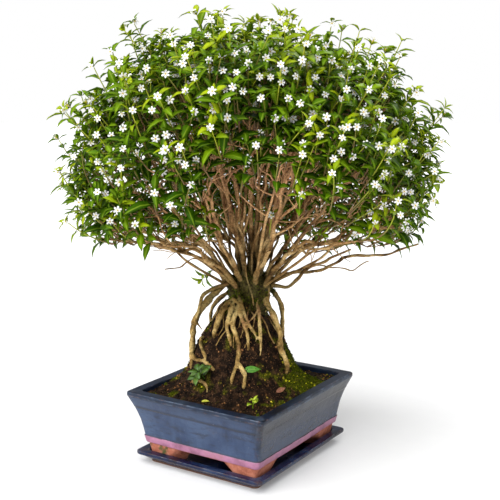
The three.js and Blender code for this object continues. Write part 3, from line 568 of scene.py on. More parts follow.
def soil_bed():
    """The lump of soil without its loose crumbs: a grid over the pot's mouth, closed underneath."""
    lip, step = 13.4, 1.5
    half_x, half_y = RIM_X - lip, RIM_Y - lip
    nx, ny = round(2 * half_x / step), round(2 * half_y / step)
    points, faces = [], []
    for j in range(ny + 1):
        for i in range(nx + 1):
            x, y = -half_x + 2 * half_x * i / nx, -half_y + 2 * half_y * j / ny
            across, toward = seen_from_above(x, y)
            near = min(math.hypot(across - s[0], toward - s[1]) for s in SMOOTH_SPOTS)
            calm = 0.25 + 0.75 * min(1, max(0, (near - 7) / 8))
            p = Vector((x, y, soil_height(across, toward)))
            rise = 1.5 * noise.noise(p * 0.11) + 1.3 * noise.noise(p * 0.31) + 0.9 * noise.noise(p * 0.8)
            shift = noise.noise_vector(p * 0.35) * 0.9
            edge = min(1, (half_x - abs(x)) / 4, (half_y - abs(y)) / 4)
            p += Vector((shift.x * edge, shift.y * edge, rise * calm - 0.8))
            points.append(p * MM)
    for j in range(ny):
        for i in range(nx):
            a = j * (nx + 1) + i
            faces.append((a, a + 1, a + nx + 2, a + nx + 1))
    rim = list(range(nx)) + [j * (nx + 1) + nx for j in range(ny)]
    rim += [ny * (nx + 1) + i for i in range(nx, 0, -1)] + [j * (nx + 1) for j in range(ny, 0, -1)]
    start = len(points)
    points += [Vector((points[i].x * 0.95, points[i].y * 0.955, 60 * MM)) for i in rim]
    for i, a in enumerate(rim):
        k = (i + 1) % len(rim)
        faces.append((a, start + i, start + k, rim[k]))
    faces.append(tuple(start + i for i in range(len(rim)))[::-1])
    bed = whole_mesh("soil_bed", points, faces, soil_earth)
    note(bed.data, "tone", [0.35] * len(points))
    note(bed.data, "mossy", [moss_share(p) for p in points])
    return bed


bed = soil_bed()
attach(bed, "root")
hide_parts("soil")


def socketed(tree, name, kind, default=None):
    """A named input of a tree."""
    made = tree.interface.new_socket(name, in_out="INPUT", socket_type=kind)
    if default is not None:
        made.default_value = default


def grown(name, ground, tree, settings, seed):
    """The plain mesh that a Geometry Nodes tree makes of an object, which goes away."""
    worker = ground.modifiers.new("making", "NODES")
    worker.node_group = tree
    named = {s.name: s.identifier for s in tree.interface.items_tree if s.in_out == "INPUT"}
    for key, value in {**settings, "Seed": seed}.items():
        worker[named[key]] = value
    depsgraph = bpy.context.evaluated_depsgraph_get()
    mesh = bpy.data.meshes.new_from_object(ground.evaluated_get(depsgraph))
    mesh.name = name
    made = bpy.data.objects.new(name, mesh)
    bpy.context.collection.objects.link(made)
    bpy.data.objects.remove(ground)
    return made


def noised(tree, low, high, seed, kind="FLOAT"):
    """Random value from low to high for each point."""
    first = {"FLOAT": 2, "INT": 4, "FLOAT_VECTOR": 0}[kind]
    out = {"FLOAT": 1, "INT": 2, "FLOAT_VECTOR": 0}[kind]
    node = wired(tree, "FunctionNodeRandomValue", {first: low, first + 1: high, 8: seed}, data_type=kind)
    return node.outputs[out]


def scatter_tree():
    """Small shapes strewn over a surface, as dense as its note cover says."""
    tree = bpy.data.node_groups.new("strewn", "GeometryNodeTree")
    for args in (("Surface", "NodeSocketGeometry"), ("Shapes", "NodeSocketCollection"),
                 ("Per square metre", "NodeSocketFloat", 100.0), ("Smallest", "NodeSocketFloat", 0.5),
                 ("Largest", "NodeSocketFloat", 1.0), ("Upright", "NodeSocketFloat", 0.0),
                 ("Material", "NodeSocketMaterial"), ("Seed", "NodeSocketInt", 0)):
        socketed(tree, *args)
    tree.interface.new_socket("Geometry", in_out="OUTPUT", socket_type="NodeSocketGeometry")
    given = tree.nodes.new("NodeGroupInput").outputs
    cover = wired(tree, "GeometryNodeInputNamedAttribute", {"Name": "cover"}, data_type="FLOAT").outputs[0]
    strewn = wired(tree, "GeometryNodeDistributePointsOnFaces",
                   {"Mesh": given["Surface"], "Seed": given["Seed"],
                    "Density": maths(tree, "MULTIPLY", cover, given["Per square metre"])})
    shapes = wired(tree, "GeometryNodeCollectionInfo",
                   {"Collection": given["Shapes"], "Separate Children": True, "Reset Children": True})
    tumbled = noised(tree, (0, 0, 0), (6.3, 6.3, 6.3), given["Seed"], "FLOAT_VECTOR")
    tumbled = wired(tree, "FunctionNodeEulerToRotation", {0: tumbled}).outputs[0]
    about = noised(tree, 0.0, 6.3, given["Seed"])
    about = wired(tree, "FunctionNodeAxisAngleToRotation", {"Axis": (0, 0, 1), "Angle": about}).outputs[0]
    upright = wired(tree, "FunctionNodeRotateRotation",
                    {"Rotation": strewn.outputs["Rotation"], "Rotate By": about}, rotation_space="LOCAL")
    turned = wired(tree, "ShaderNodeMix", {"Factor": given["Upright"]}, data_type="ROTATION")
    tree.links.new(tumbled, next(s for s in turned.inputs if s.identifier == "A_Rotation"))
    tree.links.new(upright.outputs[0], next(s for s in turned.inputs if s.identifier == "B_Rotation"))
    turned = next(s for s in turned.outputs if s.identifier == "Result_Rotation")
    set_down = wired(tree, "GeometryNodeInstanceOnPoints",
                     {"Points": strewn.outputs[0], "Instance": shapes.outputs[0], "Pick Instance": True,
                      "Rotation": turned, "Scale": noised(tree, given["Smallest"], given["Largest"], 7)})
    toned = wired(tree, "GeometryNodeStoreNamedAttribute",
                  {"Geometry": set_down.outputs[0], "Name": "tone", "Value": noised(tree, 0.0, 1.0, 11)},
                  data_type="FLOAT", domain="INSTANCE")
    real = wired(tree, "GeometryNodeRealizeInstances", {0: toned.outputs[0]})
    done = wired(tree, "GeometryNodeSetMaterial",
                 {"Geometry": real.outputs[0], "Material": given["Material"]})
    wired(tree, "NodeGroupOutput", {0: done.outputs[0]})
    return tree


def shape_set(name, meshes):
    """A collection of small shapes for a tree to choose from."""
    made = bpy.data.collections.new(name)
    for i, (points, faces) in enumerate(meshes):
        mesh = bpy.data.meshes.new(f"{name}_{i}")
        mesh.from_pydata([tuple(p) for p in points], [], faces)
        made.objects.link(bpy.data.objects.new(f"{name}_{i}", mesh))
    return made


def crumb(draw):
    """An angular lump of about 1 mm."""
    lump = bmesh.new()
    bmesh.ops.create_icosphere(lump, subdivisions=1, radius=1 * MM)
    squash = Vector((draw.uniform(0.7, 1.2), draw.uniform(0.6, 1.1), draw.uniform(0.5, 0.9)))
    points = [v.co * squash * draw.uniform(0.75, 1.2) for v in lump.verts]
    return points, [[v.index for v in f.verts] for f in lump.faces]


def covered(name, source, rule):
    """A copy of a surface whose note cover says how dense things lie on it."""
    mesh = source.data.copy()
    made = bpy.data.objects.new(name, mesh)
    bpy.context.collection.objects.link(made)
    note(mesh, "cover", [rule(v.co, v.normal) for v in mesh.vertices])
    return made


SOIL_LEVEL = 82 * MM  # nothing is strewn lower than this
strewing = scatter_tree()
draw = random.Random(5)
crumb_shapes = shape_set("crumb", [crumb(draw) for i in range(5)])
ground = covered("crumb_ground", bed, lambda p, n: 1.0 if p.z > SOIL_LEVEL and n.z > 0.15 else 0.0)
crumbs = grown("soil_crumbs", ground, strewing,
               {"Shapes": crumb_shapes, "Per square metre": 44000.0, "Smallest": 0.6, "Largest": 2.0,
                "Material": soil_earth}, 3)
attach(crumbs, "root")

# ---------------------------------------------------------------- moss on the soil
# Living moss that has crept over the right of the soil, with patches elsewhere. It is a cushion of
# short tufts, thickest where the soil is level, and holds on to the soil by itself.
moss_green, tree, shader, place = finish("moss_green")
tone = noted(tree, "tone")
tip = noted(tree, "tip")
cushion = ramp(tree, tone, (0.0, (0.045, 0.065, 0.002)), (0.6, (0.14, 0.18, 0.005)),
               (1.0, (0.24, 0.28, 0.009)))
cushion = mixed(tree, between(tree, tip, 0, 1, 0.75, 0), cushion, (0.012, 0.014, 0.003, 1))
dull = between(tree, grain(tree, place, 260, 3), 0.4, 0.65, 0, 0.5)
cushion = mixed(tree, dull, cushion, (0.05, 0.075, 0.006, 1))
tree.links.new(cushion, shader.inputs["Base Color"])
shader.inputs["Roughness"].default_value = 0.8
shader.inputs["Specular IOR Level"].default_value = 0.06


def moss_tuft(draw):
    """A few three-sided spikes that lean out of one spot."""
    points, faces = [], []
    for i in range(5):
        about = 2 * math.pi * (i + draw.uniform(-0.3, 0.3)) / 5
        lean = draw.uniform(0.2, 1.0) if i else 0.1
        tip = Vector((lean * math.cos(about), lean * math.sin(about), draw.uniform(1.1, 1.8))) * 1.25
        root = Vector((0.35 * tip.x, 0.35 * tip.y, -0.5))
        start = len(points)
        for j in range(3):
            angle = 2 * math.pi * j / 3 + about
            points.append((root + Vector((0.42 * math.cos(angle), 0.42 * math.sin(angle), 0))) * MM)
        points.append(tip * MM)
        a, b, c, top = range(start, start + 4)
        faces += [(a, b, top), (b, c, top), (c, a, top), (c, b, a)]
    return points, faces


tuft_shapes = shape_set("tuft", [moss_tuft(draw) for i in range(4)])
for shape in tuft_shapes.objects:
    note(shape.data, "tip", [1.0 if i % 4 == 3 else 0.0 for i in range(len(shape.data.vertices))])
ground = covered("moss_ground", bed,
                 lambda p, n: moss_share(p) ** 2 if p.z > SOIL_LEVEL and n.z > 0.12 else 0.0)
moss = grown("moss", ground, strewing,
             {"Shapes": tuft_shapes, "Per square metre": 230000.0, "Smallest": 0.6, "Largest": 1.5,
              "Upright": 1.0, "Material": moss_green}, 8)
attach(moss, "root")

# ---------------------------------------------------------------- tree wood
# The living wood in one growth: bare tan roots that stand over the mound and run into it, and a short
# thick trunk from which reddish-brown stems rise. This part of it is the stump; the stems follow below.
# A root or twig is the places it passes, to the right, toward the viewer and up, and its thickness.
ROOTS = (
    (((-16, 6, 211), (-33, 8, 199), (-48, 10, 181), (-58, 10, 163), (-60, 8, 146), (-61, 8, 128),
      (-61, 20, 112)), 6, 4),
    (((-14, 10, 210), (-30, 13, 207), (-40, 15, 202), (-48, 18, 196), (-52, 18, 179),
      (-55, 13, 166)), 3.4, 2.4),
    (((-20, -14, 193), (-37, -20, 175), (-40, -22, 154)), 4, 3),
    (((-13, 20, 191), (-25, 28, 181), (-30, 34, 167), (-34, 30, 153)), 5, 4),
    (((-10, 22, 190), (-14, 30, 184), (-19, 36, 165), (-16, 41, 154), (-14, 46, 147)), 3.6, 3),
    (((-4, 22, 190), (-8, 31, 181), (-12, 38, 168), (-7, 43, 153), (-5, 51, 141), (-7, 57, 127),
      (-13, 65, 109)), 3.8, 2.8),
    (((-12, 22, 195), (-5, 32, 191), (-4, 37, 181), (1, 41, 168), (5, 43, 156), (6, 50, 144)), 3, 2.4),
    (((-5, 24, 201), (-2, 31, 191), (2, 36, 178), (8, 41, 166), (15, 44, 155)), 3, 2.2),
    (((19, 22, 198), (16, 31, 191), (17, 36, 184), (8, 42, 173), (1, 41, 168)), 1.8, 1.4),
    (((15, 22, 190), (18, 31, 181), (19, 37, 166), (20, 43, 152), (20, 50, 138)), 3, 2.4),
    (((24, 16, 200), (27, 25, 191), (35, 30, 177), (40, 33, 165), (43, 35, 154), (43, 35, 139),
      (49, 36, 126), (51, 38, 113)), 5.2, 3.6),
    (((26, 10, 212), (30, 20, 206), (29, 26, 190)), 2.6, 2),
    (((32, -6, 200), (44, -14, 182), (47, -16, 166), (47, -16, 150), (48, -16, 136)), 4.4, 3.4),
    (((0, -20, 196), (-6, -34, 178), (-8, -42, 160), (-10, -48, 144)), 4.6, 3.4),
    (((16, -20, 194), (24, -34, 176), (26, -42, 158), (30, -48, 142)), 4, 3),
)
SURFACE_ROOTS = (
    (((-40, 6, 138), (-49, 16, 146), (-49, 26, 139), (-44, 36, 129), (-40, 36, 116)), 2.4),
    (((-61, 8, 124), (-56, 24, 122), (-46, 38, 124), (-36, 50, 120), (-30, 44, 108)), 2.4),
    (((-2, 42, 128), (-3, 57, 124), (2, 63, 115), (1, 68, 104), (0, 60, 96)), 2.6),
    (((-50, 34, 96), (-58, 43, 101), (-50, 50, 104), (-42, 57, 101), (-40, 62, 90)), 2.2),
)
TWIGS = (
    (((-34, 0, 232), (-50, 6, 234), (-63, 8, 233), (-75, 9, 225), (-92, 10, 227)), 1.2),
    (((74, 2, 224), (84, 8, 229), (104, 12, 230), (126, 14, 229), (146, 16, 238)), 1.3),
    (((20, 0, 205), (36, 12, 210), (54, 14, 209), (78, 12, 226), (100, 10, 240), (126, 6, 250)), 2.6),
)
LOW_BOUGHS = (
    (((-14, 2, 210), (-36, 6, 232), (-62, 8, 252), (-110, 6, 257), (-172, 8, 264)), 2.4),
    (((30, 0, 212), (62, 6, 222), (110, 8, 233), (160, 6, 240), (205, 4, 256)), 2.6),
)
TRUNK = ((150, 18), (172, 21), (186, 24), (197, 25), (210, 25), (219, 20), (226, 11))
TRUNK_ACROSS = 8
HEART_HEIGHT = 212
TIERS = ((9, 22, 90, 1), (7, 47, 70, 0), (4, 68, 40, 0), (1, 90, 0, 0))  # sprays, rise, turn, left out
CROWN_REACH = 320
CROWN_SIDE = 242
BURIED_SHARE = 0.2


def seeded(seed):
    """Even random draws that come out the same each time."""
    state = seed

    def draw(low=0.0, high=1.0):
        nonlocal state
        state = (state + 0x6D2B79F5) & 0xFFFFFFFF
        t = ((state ^ (state >> 15)) * (1 | state)) & 0xFFFFFFFF
        t = ((t + ((t ^ (t >> 7)) * (61 | t))) ^ t) & 0xFFFFFFFF
        return low + (high - low) * ((t ^ (t >> 14)) / 4294967296)

    return draw


def heading(turn, rise):
    """The way that points that many degrees round from the right, and that many up."""
    phi, psi = math.radians(turn), math.radians(rise)
    way = UP * math.sin(psi) + RIGHT * math.cos(psi) * math.cos(phi) + FRONT * math.cos(psi) * math.sin(phi)
    return way.normalized()


heart = seen(TRUNK_ACROSS, 0, HEART_HEIGHT)
slots = [(heading(turn + 360 * i / count, rise), rise, i < skip)
         for count, rise, turn, skip in TIERS for i in range(count)]
sprays = [slot for slot in slots if not slot[2]]


def reach(way):
    """Distance from the heart of the crown to its outermost tips."""
    sharp = 9
    level = math.hypot(way.dot(RIGHT), way.dot(FRONT) / 0.93)
    side = CROWN_SIDE / max(level, 0.2)
    fuller = 1 + 0.03 * way.dot(RIGHT)
    return (side ** -sharp + CROWN_REACH ** -sharp) ** (-1 / sharp) * fuller * MM


def arched(start, middle, end, count):
    """That many points on the arch from start to end that leans toward the middle point."""
    made = []
    for i in range(count):
        t = i / (count - 1)
        made.append(start * (1 - t) ** 2 + middle * 2 * t * (1 - t) + end * t * t)
    return made


def stem_lines():
    """Each spray's stem, with its radii, and the fork that leaves it half way up."""
    made = []
    for k, (way, rise, _) in enumerate(sprays):
        draw = seeded(100 + k)
        base = seen(TRUNK_ACROSS, 0, 196) + Vector((way.x, way.y, 0)) * 17 * MM
        target = heart + way * 0.71 * reach(way)
        low = min(1, max(0, (47 - rise) / 25))
        bend = base.lerp(target, 0.42 - 0.1 * low)
        bend.z = base.z + (target.z - base.z) * (0.5 + 0.36 * low)
        points = arched(base, bend, target, 5)
        for p in points[1:-1]:
            p += Vector((draw(-3, 3), draw(-3, 3), draw(-2, 2))) * MM
        thick = draw(2.8, 3.8) * MM
        side = way.cross(UP).normalized() * (17 if k % 2 else -17) * MM
        fork = [points[2], points[2].lerp(target + side, 0.5) + side * 0.2, target + side]
        radii = [0.84 * (thick - (thick - 1.7 * MM) * i / 4) for i in range(5)]
        line, girth = flowing(points, radii, 4 * MM)
        line = swayed(line, k)
        fork[0] = line[round(0.5 * (len(line) - 1))]
        made.append((line, girth, fork, [1.6 * MM, 1.3 * MM, 1.0 * MM]))
    return made


def swayed(line, number):
    """The line with small bends of its own, none at its root and its tip."""
    made = []
    for i, p in enumerate(line):
        t = i / (len(line) - 1)
        bend = noise.noise_vector(p * 17 + Vector((number * 3.7, 0, 0))) * 11
        bend += noise.noise_vector(p * 34 + Vector((0, 0, number * 1.9))) * 5
        bend += noise.noise_vector(p * 80 + Vector((0, number * 2.3, 0))) * 2.2
        made.append(p + bend * min(1, 4 * t, 4 * (1 - t)) * MM)
    return made


def flowing(points, radii, step):
    """A smooth line through the points, cut into short steps, with the radius at each."""
    ends = [points[0] * 2 - points[1], *points, points[-1] * 2 - points[-2]]
    line, thick = [], []
    for i in range(len(points) - 1):
        a, b, c, d = ends[i:i + 4]
        pieces = max(1, round((c - b).length / step))
        for j in range(pieces + (i == len(points) - 2)):
            t = j / pieces
            line.append(0.5 * (2 * b + (c - a) * t + (2 * a - 5 * b + 4 * c - d) * t * t
                               + (3 * b - a - 3 * c + d) * t ** 3))
            thick.append(radii[i] + (radii[i + 1] - radii[i]) * t)
    return line, thick


stems = stem_lines()


class Growth:
    """Tubes of wood gathered for one mesh."""

    def __init__(self):
        self.points, self.faces = [], []

    def limb(self, line, thick, sides, knots=0.0):
        """A tube along the line, as thick as told at each point, with a swell here and there."""
        across = Vector((0.3, 0.9, 0.2))
        start = len(self.points)
        for i, p in enumerate(line):
            way = (line[min(i + 1, len(line) - 1)] - line[max(i - 1, 0)]).normalized()
            across = (across - way * across.dot(way)).normalized()
            other = way.cross(across)
            swell = 1 + knots * noise.noise(p * 110) + 0.5 * knots * noise.noise(p * 330)
            for j in range(sides):
                angle = 2 * math.pi * j / sides
                out = across * math.cos(angle) + other * math.sin(angle)
                self.points.append(p + out * thick[i] * swell)
        for i in range(len(line) - 1):
            for j in range(sides):
                k = (j + 1) % sides
                a, b = start + i * sides, start + (i + 1) * sides
                self.faces.append((a + j, a + k, b + k, b + j))
        self.faces.append(tuple(start + j for j in range(sides))[::-1])
        self.faces.append(tuple(len(self.points) - sides + j for j in range(sides)))

    def mesh(self, name, material):
        return whole_mesh(name, self.points, self.faces, material)


def fused(name, piece, voxel, smooth):
    """The piece with all its overlapping limbs grown into one skin."""
    melt = piece.modifiers.new("grow together", "REMESH")
    melt.mode = "VOXEL"
    melt.voxel_size = voxel
    soften = piece.modifiers.new("soften", "SMOOTH")
    soften.factor = 0.5
    soften.iterations = smooth
    depsgraph = bpy.context.evaluated_depsgraph_get()
    mesh = bpy.data.meshes.new_from_object(piece.evaluated_get(depsgraph))
    bpy.data.objects.remove(piece)
    made = bpy.data.objects.new(name, mesh)
    bpy.context.collection.objects.link(made)
    return made


bark, tree, shader, place = finish("bark")
height = wired(tree, "ShaderNodeSeparateXYZ", {0: place}).outputs[2]
patch = grain(tree, place, 55, 5, 0.6)
fibre = grain(tree, place, 420, 5, 0.65)
root_skin = ramp(tree, patch, (0.35, (0.11, 0.062, 0.018)), (0.47, (0.44, 0.27, 0.085)),
                 (0.62, (0.80, 0.58, 0.23)))
blush = between(tree, grain(tree, place, 32, 3), 0.55, 0.68, 0, 0.55)
root_skin = mixed(tree, blush, root_skin, (0.46, 0.21, 0.11, 1))
lichen = between(tree, grain(tree, place, 75, 5, 0.7), 0.56, 0.68, 0, 0.7)
root_skin = mixed(tree, lichen, root_skin, (0.085, 0.085, 0.03, 1))
stem_skin = ramp(tree, patch, (0.35, (0.12, 0.060, 0.020)), (0.48, (0.46, 0.26, 0.095)),
                 (0.62, (0.80, 0.54, 0.24)))
# Higher up the stems turn reddish, their own colour, and lighter, which is painted light against the shade of
# the leaves.
stem_skin = mixed(tree, between(tree, height, 0.26, 0.34, 0, 0.75), stem_skin, (0.80, 0.42, 0.21, 1))
skin = mixed(tree, between(tree, height, 0.200, 0.235), root_skin, stem_skin)
# Dark mossy bark: real moss in patches round the foot of the trunk and on the trunk itself, and painted shade
# among the feet of the stems, on their inner sides and in the creases of the stump.
shade_and_moss = noted(tree, "shade_and_moss")
mossy_shade = maths(tree, "MULTIPLY", between(tree, height, 0.172, 0.192),
              between(tree, height, 0.212, 0.248, 1, 0))
mossy_shade = maths(tree, "MULTIPLY", mossy_shade, between(tree, patch, 0.35, 0.62, 0.1, 0.75))
mossy_shade = maths(tree, "MAXIMUM", mossy_shade, maths(tree, "MULTIPLY", shade_and_moss, 0.93))
mossy_shade_colour = ramp(tree, fibre, (0.38, (0.006, 0.005, 0.002)), (0.6, (0.038, 0.042, 0.005)),
              (0.75, (0.09, 0.07, 0.02)))
skin = mixed(tree, mossy_shade, skin, mossy_shade_colour)
crack = between(tree, fibre, 0.34, 0.54, 0.35, 1.0)
cracked = wired(tree, "ShaderNodeCombineColor", {0: crack, 1: crack, 2: crack}).outputs[0]
skin = mixed(tree, 1.0, skin, cracked, "MULTIPLY")
tree.links.new(skin, shader.inputs["Base Color"])
shader.inputs["Roughness"].default_value = 0.65
shader.inputs["Specular IOR Level"].default_value = 0.10
relief(tree, shader, maths(tree, "ADD", fibre, patch), 0.0014, 0.9)

stump = Growth()
AROUND = 30
for i, (z, radius) in enumerate(TRUNK):
    for j in range(AROUND):
        angle = 2 * math.pi * j / AROUND
        lump = 1 + 0.1 * math.sin(3 * angle + i) + 0.06 * math.sin(5 * angle + 2 * i)
        out = (radius * lump - 1.5) * MM
        stump.points.append(seen(TRUNK_ACROSS, 0, z) + Vector((math.cos(angle), math.sin(angle), 0)) * out)
for a in range(0, len(stump.points) - AROUND, AROUND):
    for j in range(AROUND):
        k = (j + 1) % AROUND
        stump.faces.append((a + j, a + k, a + AROUND + k, a + AROUND + j))
stump.faces.append(tuple(range(AROUND))[::-1])
stump.faces.append(tuple(len(stump.points) - AROUND + j for j in range(AROUND)))
for path, first, last in ROOTS:
    line = [seen(*p) for p in path]
    line.insert(0, line[0].lerp(seen(TRUNK_ACROSS, 0, path[0][2]), 0.55))
    end = line[-1]
    line.append(end.lerp(Vector((0, 0, end.z)), 0.12) - UP * 12 * MM)
    radii = [0.80 * (first + (last - first) * i / (len(line) - 1)) * MM for i in range(len(line))]
    radii[:2] = [0.8 * radii[0], 0.86 * radii[1]]
    radii[-2:] = [0.72 * radii[-2], 0.45 * radii[-1]]
    stump.limb(*flowing(line, radii, 2.5 * MM), 10, 0.35)
for path, radius in SURFACE_ROOTS:
    line = [seen(*p) for p in path]
    stump.limb(*flowing(line, [radius * MM] * 4 + [0.7 * radius * MM], 2.5 * MM), 9, 0.3)
for line, thick, fork, fork_radii in stems:
    cut_at = round(BURIED_SHARE * len(line))
    stump.limb(line[:cut_at], [1.12 * r for r in thick[:cut_at]], 10, 0.2)
stump = fused("stump", stump.mesh("stump", bark), 1.3 * MM, 1)
outward = [vertex.normal.copy() for vertex in stump.data.vertices]
for vertex, normal in zip(stump.data.vertices, outward):
    depth = 0.5 * noise.noise(vertex.co * 190) + 0.28 * noise.noise(vertex.co * 480)
    vertex.co = vertex.co + normal * depth * MM


def crease_depths(mesh):
    """How hollow the skin is at each vertex: above 0 in the creases where limbs have grown together."""
    depths = [0.0] * len(mesh.vertices)
    ways = [vertex.normal.copy() for vertex in mesh.vertices]
    for edge in mesh.edges:
        a, b = edge.vertices
        step = (mesh.vertices[b].co - mesh.vertices[a].co).normalized()
        depths[a] += 0.25 * ways[a].dot(step)
        depths[b] -= 0.25 * ways[b].dot(step)
    for i in range(3):
        spread = [0.4 * depth for depth in depths]
        for edge in mesh.edges:
            a, b = edge.vertices
            spread[a] += 0.15 * depths[b]
            spread[b] += 0.15 * depths[a]
        depths = spread
    return depths


creases = crease_depths(stump.data)


def trunk_share(place):
    """1 on the trunk itself and 0 on the roots and stems that leave it."""
    height = place.z / MM
    radius = 0
    for (z0, r0), (z1, r1) in zip(TRUNK, TRUNK[1:]):
        if z0 <= height < z1:
            radius = r0 + (r1 - r0) * (height - z0) / (z1 - z0)
    off = place - seen(TRUNK_ACROSS, 0, height)
    collar = 4 * max(0, 1 - abs(height - 199) / 11)
    near = (1.1 * radius + 3 + collar - math.hypot(off.x, off.y) / MM) / 3.5
    return min(1, max(0, near)) * min(1, max(0, (230 - height) / 9))


def trunk_cover(place, normal):
    """How thick moss grows on the wood there: in patches, on the trunk alone, and not under the soil."""
    patchy = min(1, max(0, 0.6 + 1.9 * noise.noise(place * 60)))
    return trunk_share(place) * patchy if place.z > 0.15 else 0.0


ground = covered("bark_ground", stump, trunk_cover)
trunk_moss = grown("trunk_moss", ground, strewing,
                   {"Shapes": tuft_shapes, "Per square metre": 190000.0, "Smallest": 0.5, "Largest": 1.2,
                    "Upright": 1.0, "Material": moss_green}, 12)
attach(trunk_moss, "root")

# ---------------------------------------------------------------- stems and twigs
# The same growth above the stump: a fan of thin stems, each with a fork and a slimmer one beside it,
# and twigs that branch from them to every shoot of the crown. With the stump it is one piece of wood.
GOLDEN_TURN = 2.399963
FLOOR_SLOPE = 10.5
draw = random.Random(21)


def crown_edge(way):
    """Where the outermost tips stand, a little closer low on the crown."""
    low = min(1, max(0, (math.degrees(math.asin(way.z)) - 11) / 25))
    uneven = 0.955 + 0.04 * min(1, max(-1, 2.2 * noise.noise(way * 5.5)))
    uneven -= 0.035 * max(0, way.dot(RIGHT)) + 0.016 * min(0, way.dot(RIGHT))
    return (reach(way) - 9 * MM) * (0.93 + 0.07 * low * low * (3 - 2 * low)) * uneven


def above_floor(place):
    """Height of a place over the crown's underside, which rises outward and toward the front."""
    off = place - heart
    outward = math.tan(math.radians(FLOOR_SLOPE)) * math.hypot(off.x, off.y)
    return off.z - outward - 0.18 * max(0, off.dot(FRONT))


def openness(place):
    """How bare the crown is there: low in front of the stems almost nothing grows, above that little."""
    off = place - heart
    toward = off.dot(FRONT) / MM
    side = off.dot(RIGHT) / MM
    if toward < -20:
        if place.z >= 0.40 or abs(side) <= 60:
            return 0
        return 0.42 if side < 0 else 0.28
    arch = math.exp(-(side / 92) ** 2)
    height = 1000 * place.z - 0.1 * toward
    if height < 264 + 60 * arch:
        return 0.92
    if height < 264 + 142 * arch:
        return 0.70
    if height < 340 and abs(side) > 50:
        return 0.40
    if height < 400:
        return 0.22 if side > -60 else 0.36
    return 0


def crown_shoots(count):
    """Shoots spread evenly over the crown: for each spray, lines from the twig to the tip, how new the
    shoot is, and how deep in the crown it ends."""
    made = [[] for spray in sprays]
    lowest = math.sin(math.radians(9))
    for i in range(count):
        rise = lowest + (1 - lowest) * (i + 0.5) / count
        phi = i * GOLDEN_TURN
        level = math.sqrt(1 - rise * rise)
        way = RIGHT * level * math.cos(phi) + FRONT * level * math.sin(phi) + UP * rise
        way = (way + Vector([draw.uniform(-0.03, 0.03) for j in range(3)])).normalized()
        outer = draw.random() < 0.55
        share = draw.uniform(0.90, 0.965) if outer else draw.uniform(0.60, 0.9)
        new = draw.random() ** 2.9
        loose = draw.random()
        wild = Vector([draw.gauss(0, 1) for j in range(3)])
        stray = outer and draw.random() < 0.17
        kept = draw.random()
        if draw.random() > (crown_edge(way) / (CROWN_REACH * MM)) ** 2.1:
            continue
        nearest = max(slots, key=lambda slot: way.dot(slot[0]))
        inner_front = share < 0.86 and way.z < 0.75 and way.dot(FRONT) > -0.2
        if nearest[2] or inner_front and kept < (0.85 if way.dot(RIGHT) < -0.25 else 0.62):
            continue
        if stray:
            share = draw.uniform(1.0, 1.025 + 0.05 * way.z)
            new = draw.uniform(0.25, 0.85)
        wanted = heart + way * crown_edge(way) * share
        tip = Vector([min(max(c, low + 22 * MM), high - 23 * MM) for c, low, high in zip(wanted, *cad_box)])
        tip.z += max(0, min(4.5 * MM, wanted.z - tip.z))
        if above_floor(tip) < 21 * MM or kept < openness(tip):
            continue
        grow = (way * 0.8 + UP * 0.45 + wild * 0.3).normalized()
        length = (30 + 30 * loose + (16 if stray else 0)) * MM
        middle = tip - grow * 0.5 * length
        root = middle - (grow * 0.35 + way * 0.65).normalized() * 0.5 * length
        for p in (root, middle):
            p += UP * max(0, 13 * MM - above_floor(p))
        made[sprays.index(nearest)].append((arched(root, middle, tip, 7), new, share))
    return made


def best_joint(joints, root):
    """Where a twig to that shoot forks off: a place on the wood that is near and grows its way."""
    outward = (root - heart).normalized()
    best, least = None, 1e9
    for spot, thick in joints:
        if (spot - heart).length > (root - heart).length - 4 * MM:
            continue
        gap = root - spot
        cost = gap.length * (1.5 - gap.normalized().dot(outward))
        if cost < least:
            best, least = (spot, thick), cost
    return best or min(joints, key=lambda joint: (joint[0] - root).length)


LONE_SHOOTS = (((29, 50, 270), (32, 63, 298)), ((-37, 66, 298), (-42, 84, 329)))
shoots = crown_shoots(3500)
for root, tip in LONE_SHOOTS:
    line = [seen(*root).lerp(seen(*tip), j / 6) for j in range(7)]
    way = (line[-1] - heart).normalized()
    shoots[max(range(len(sprays)), key=lambda k: way.dot(sprays[k][0]))].append((line, 0.95, 0.8))

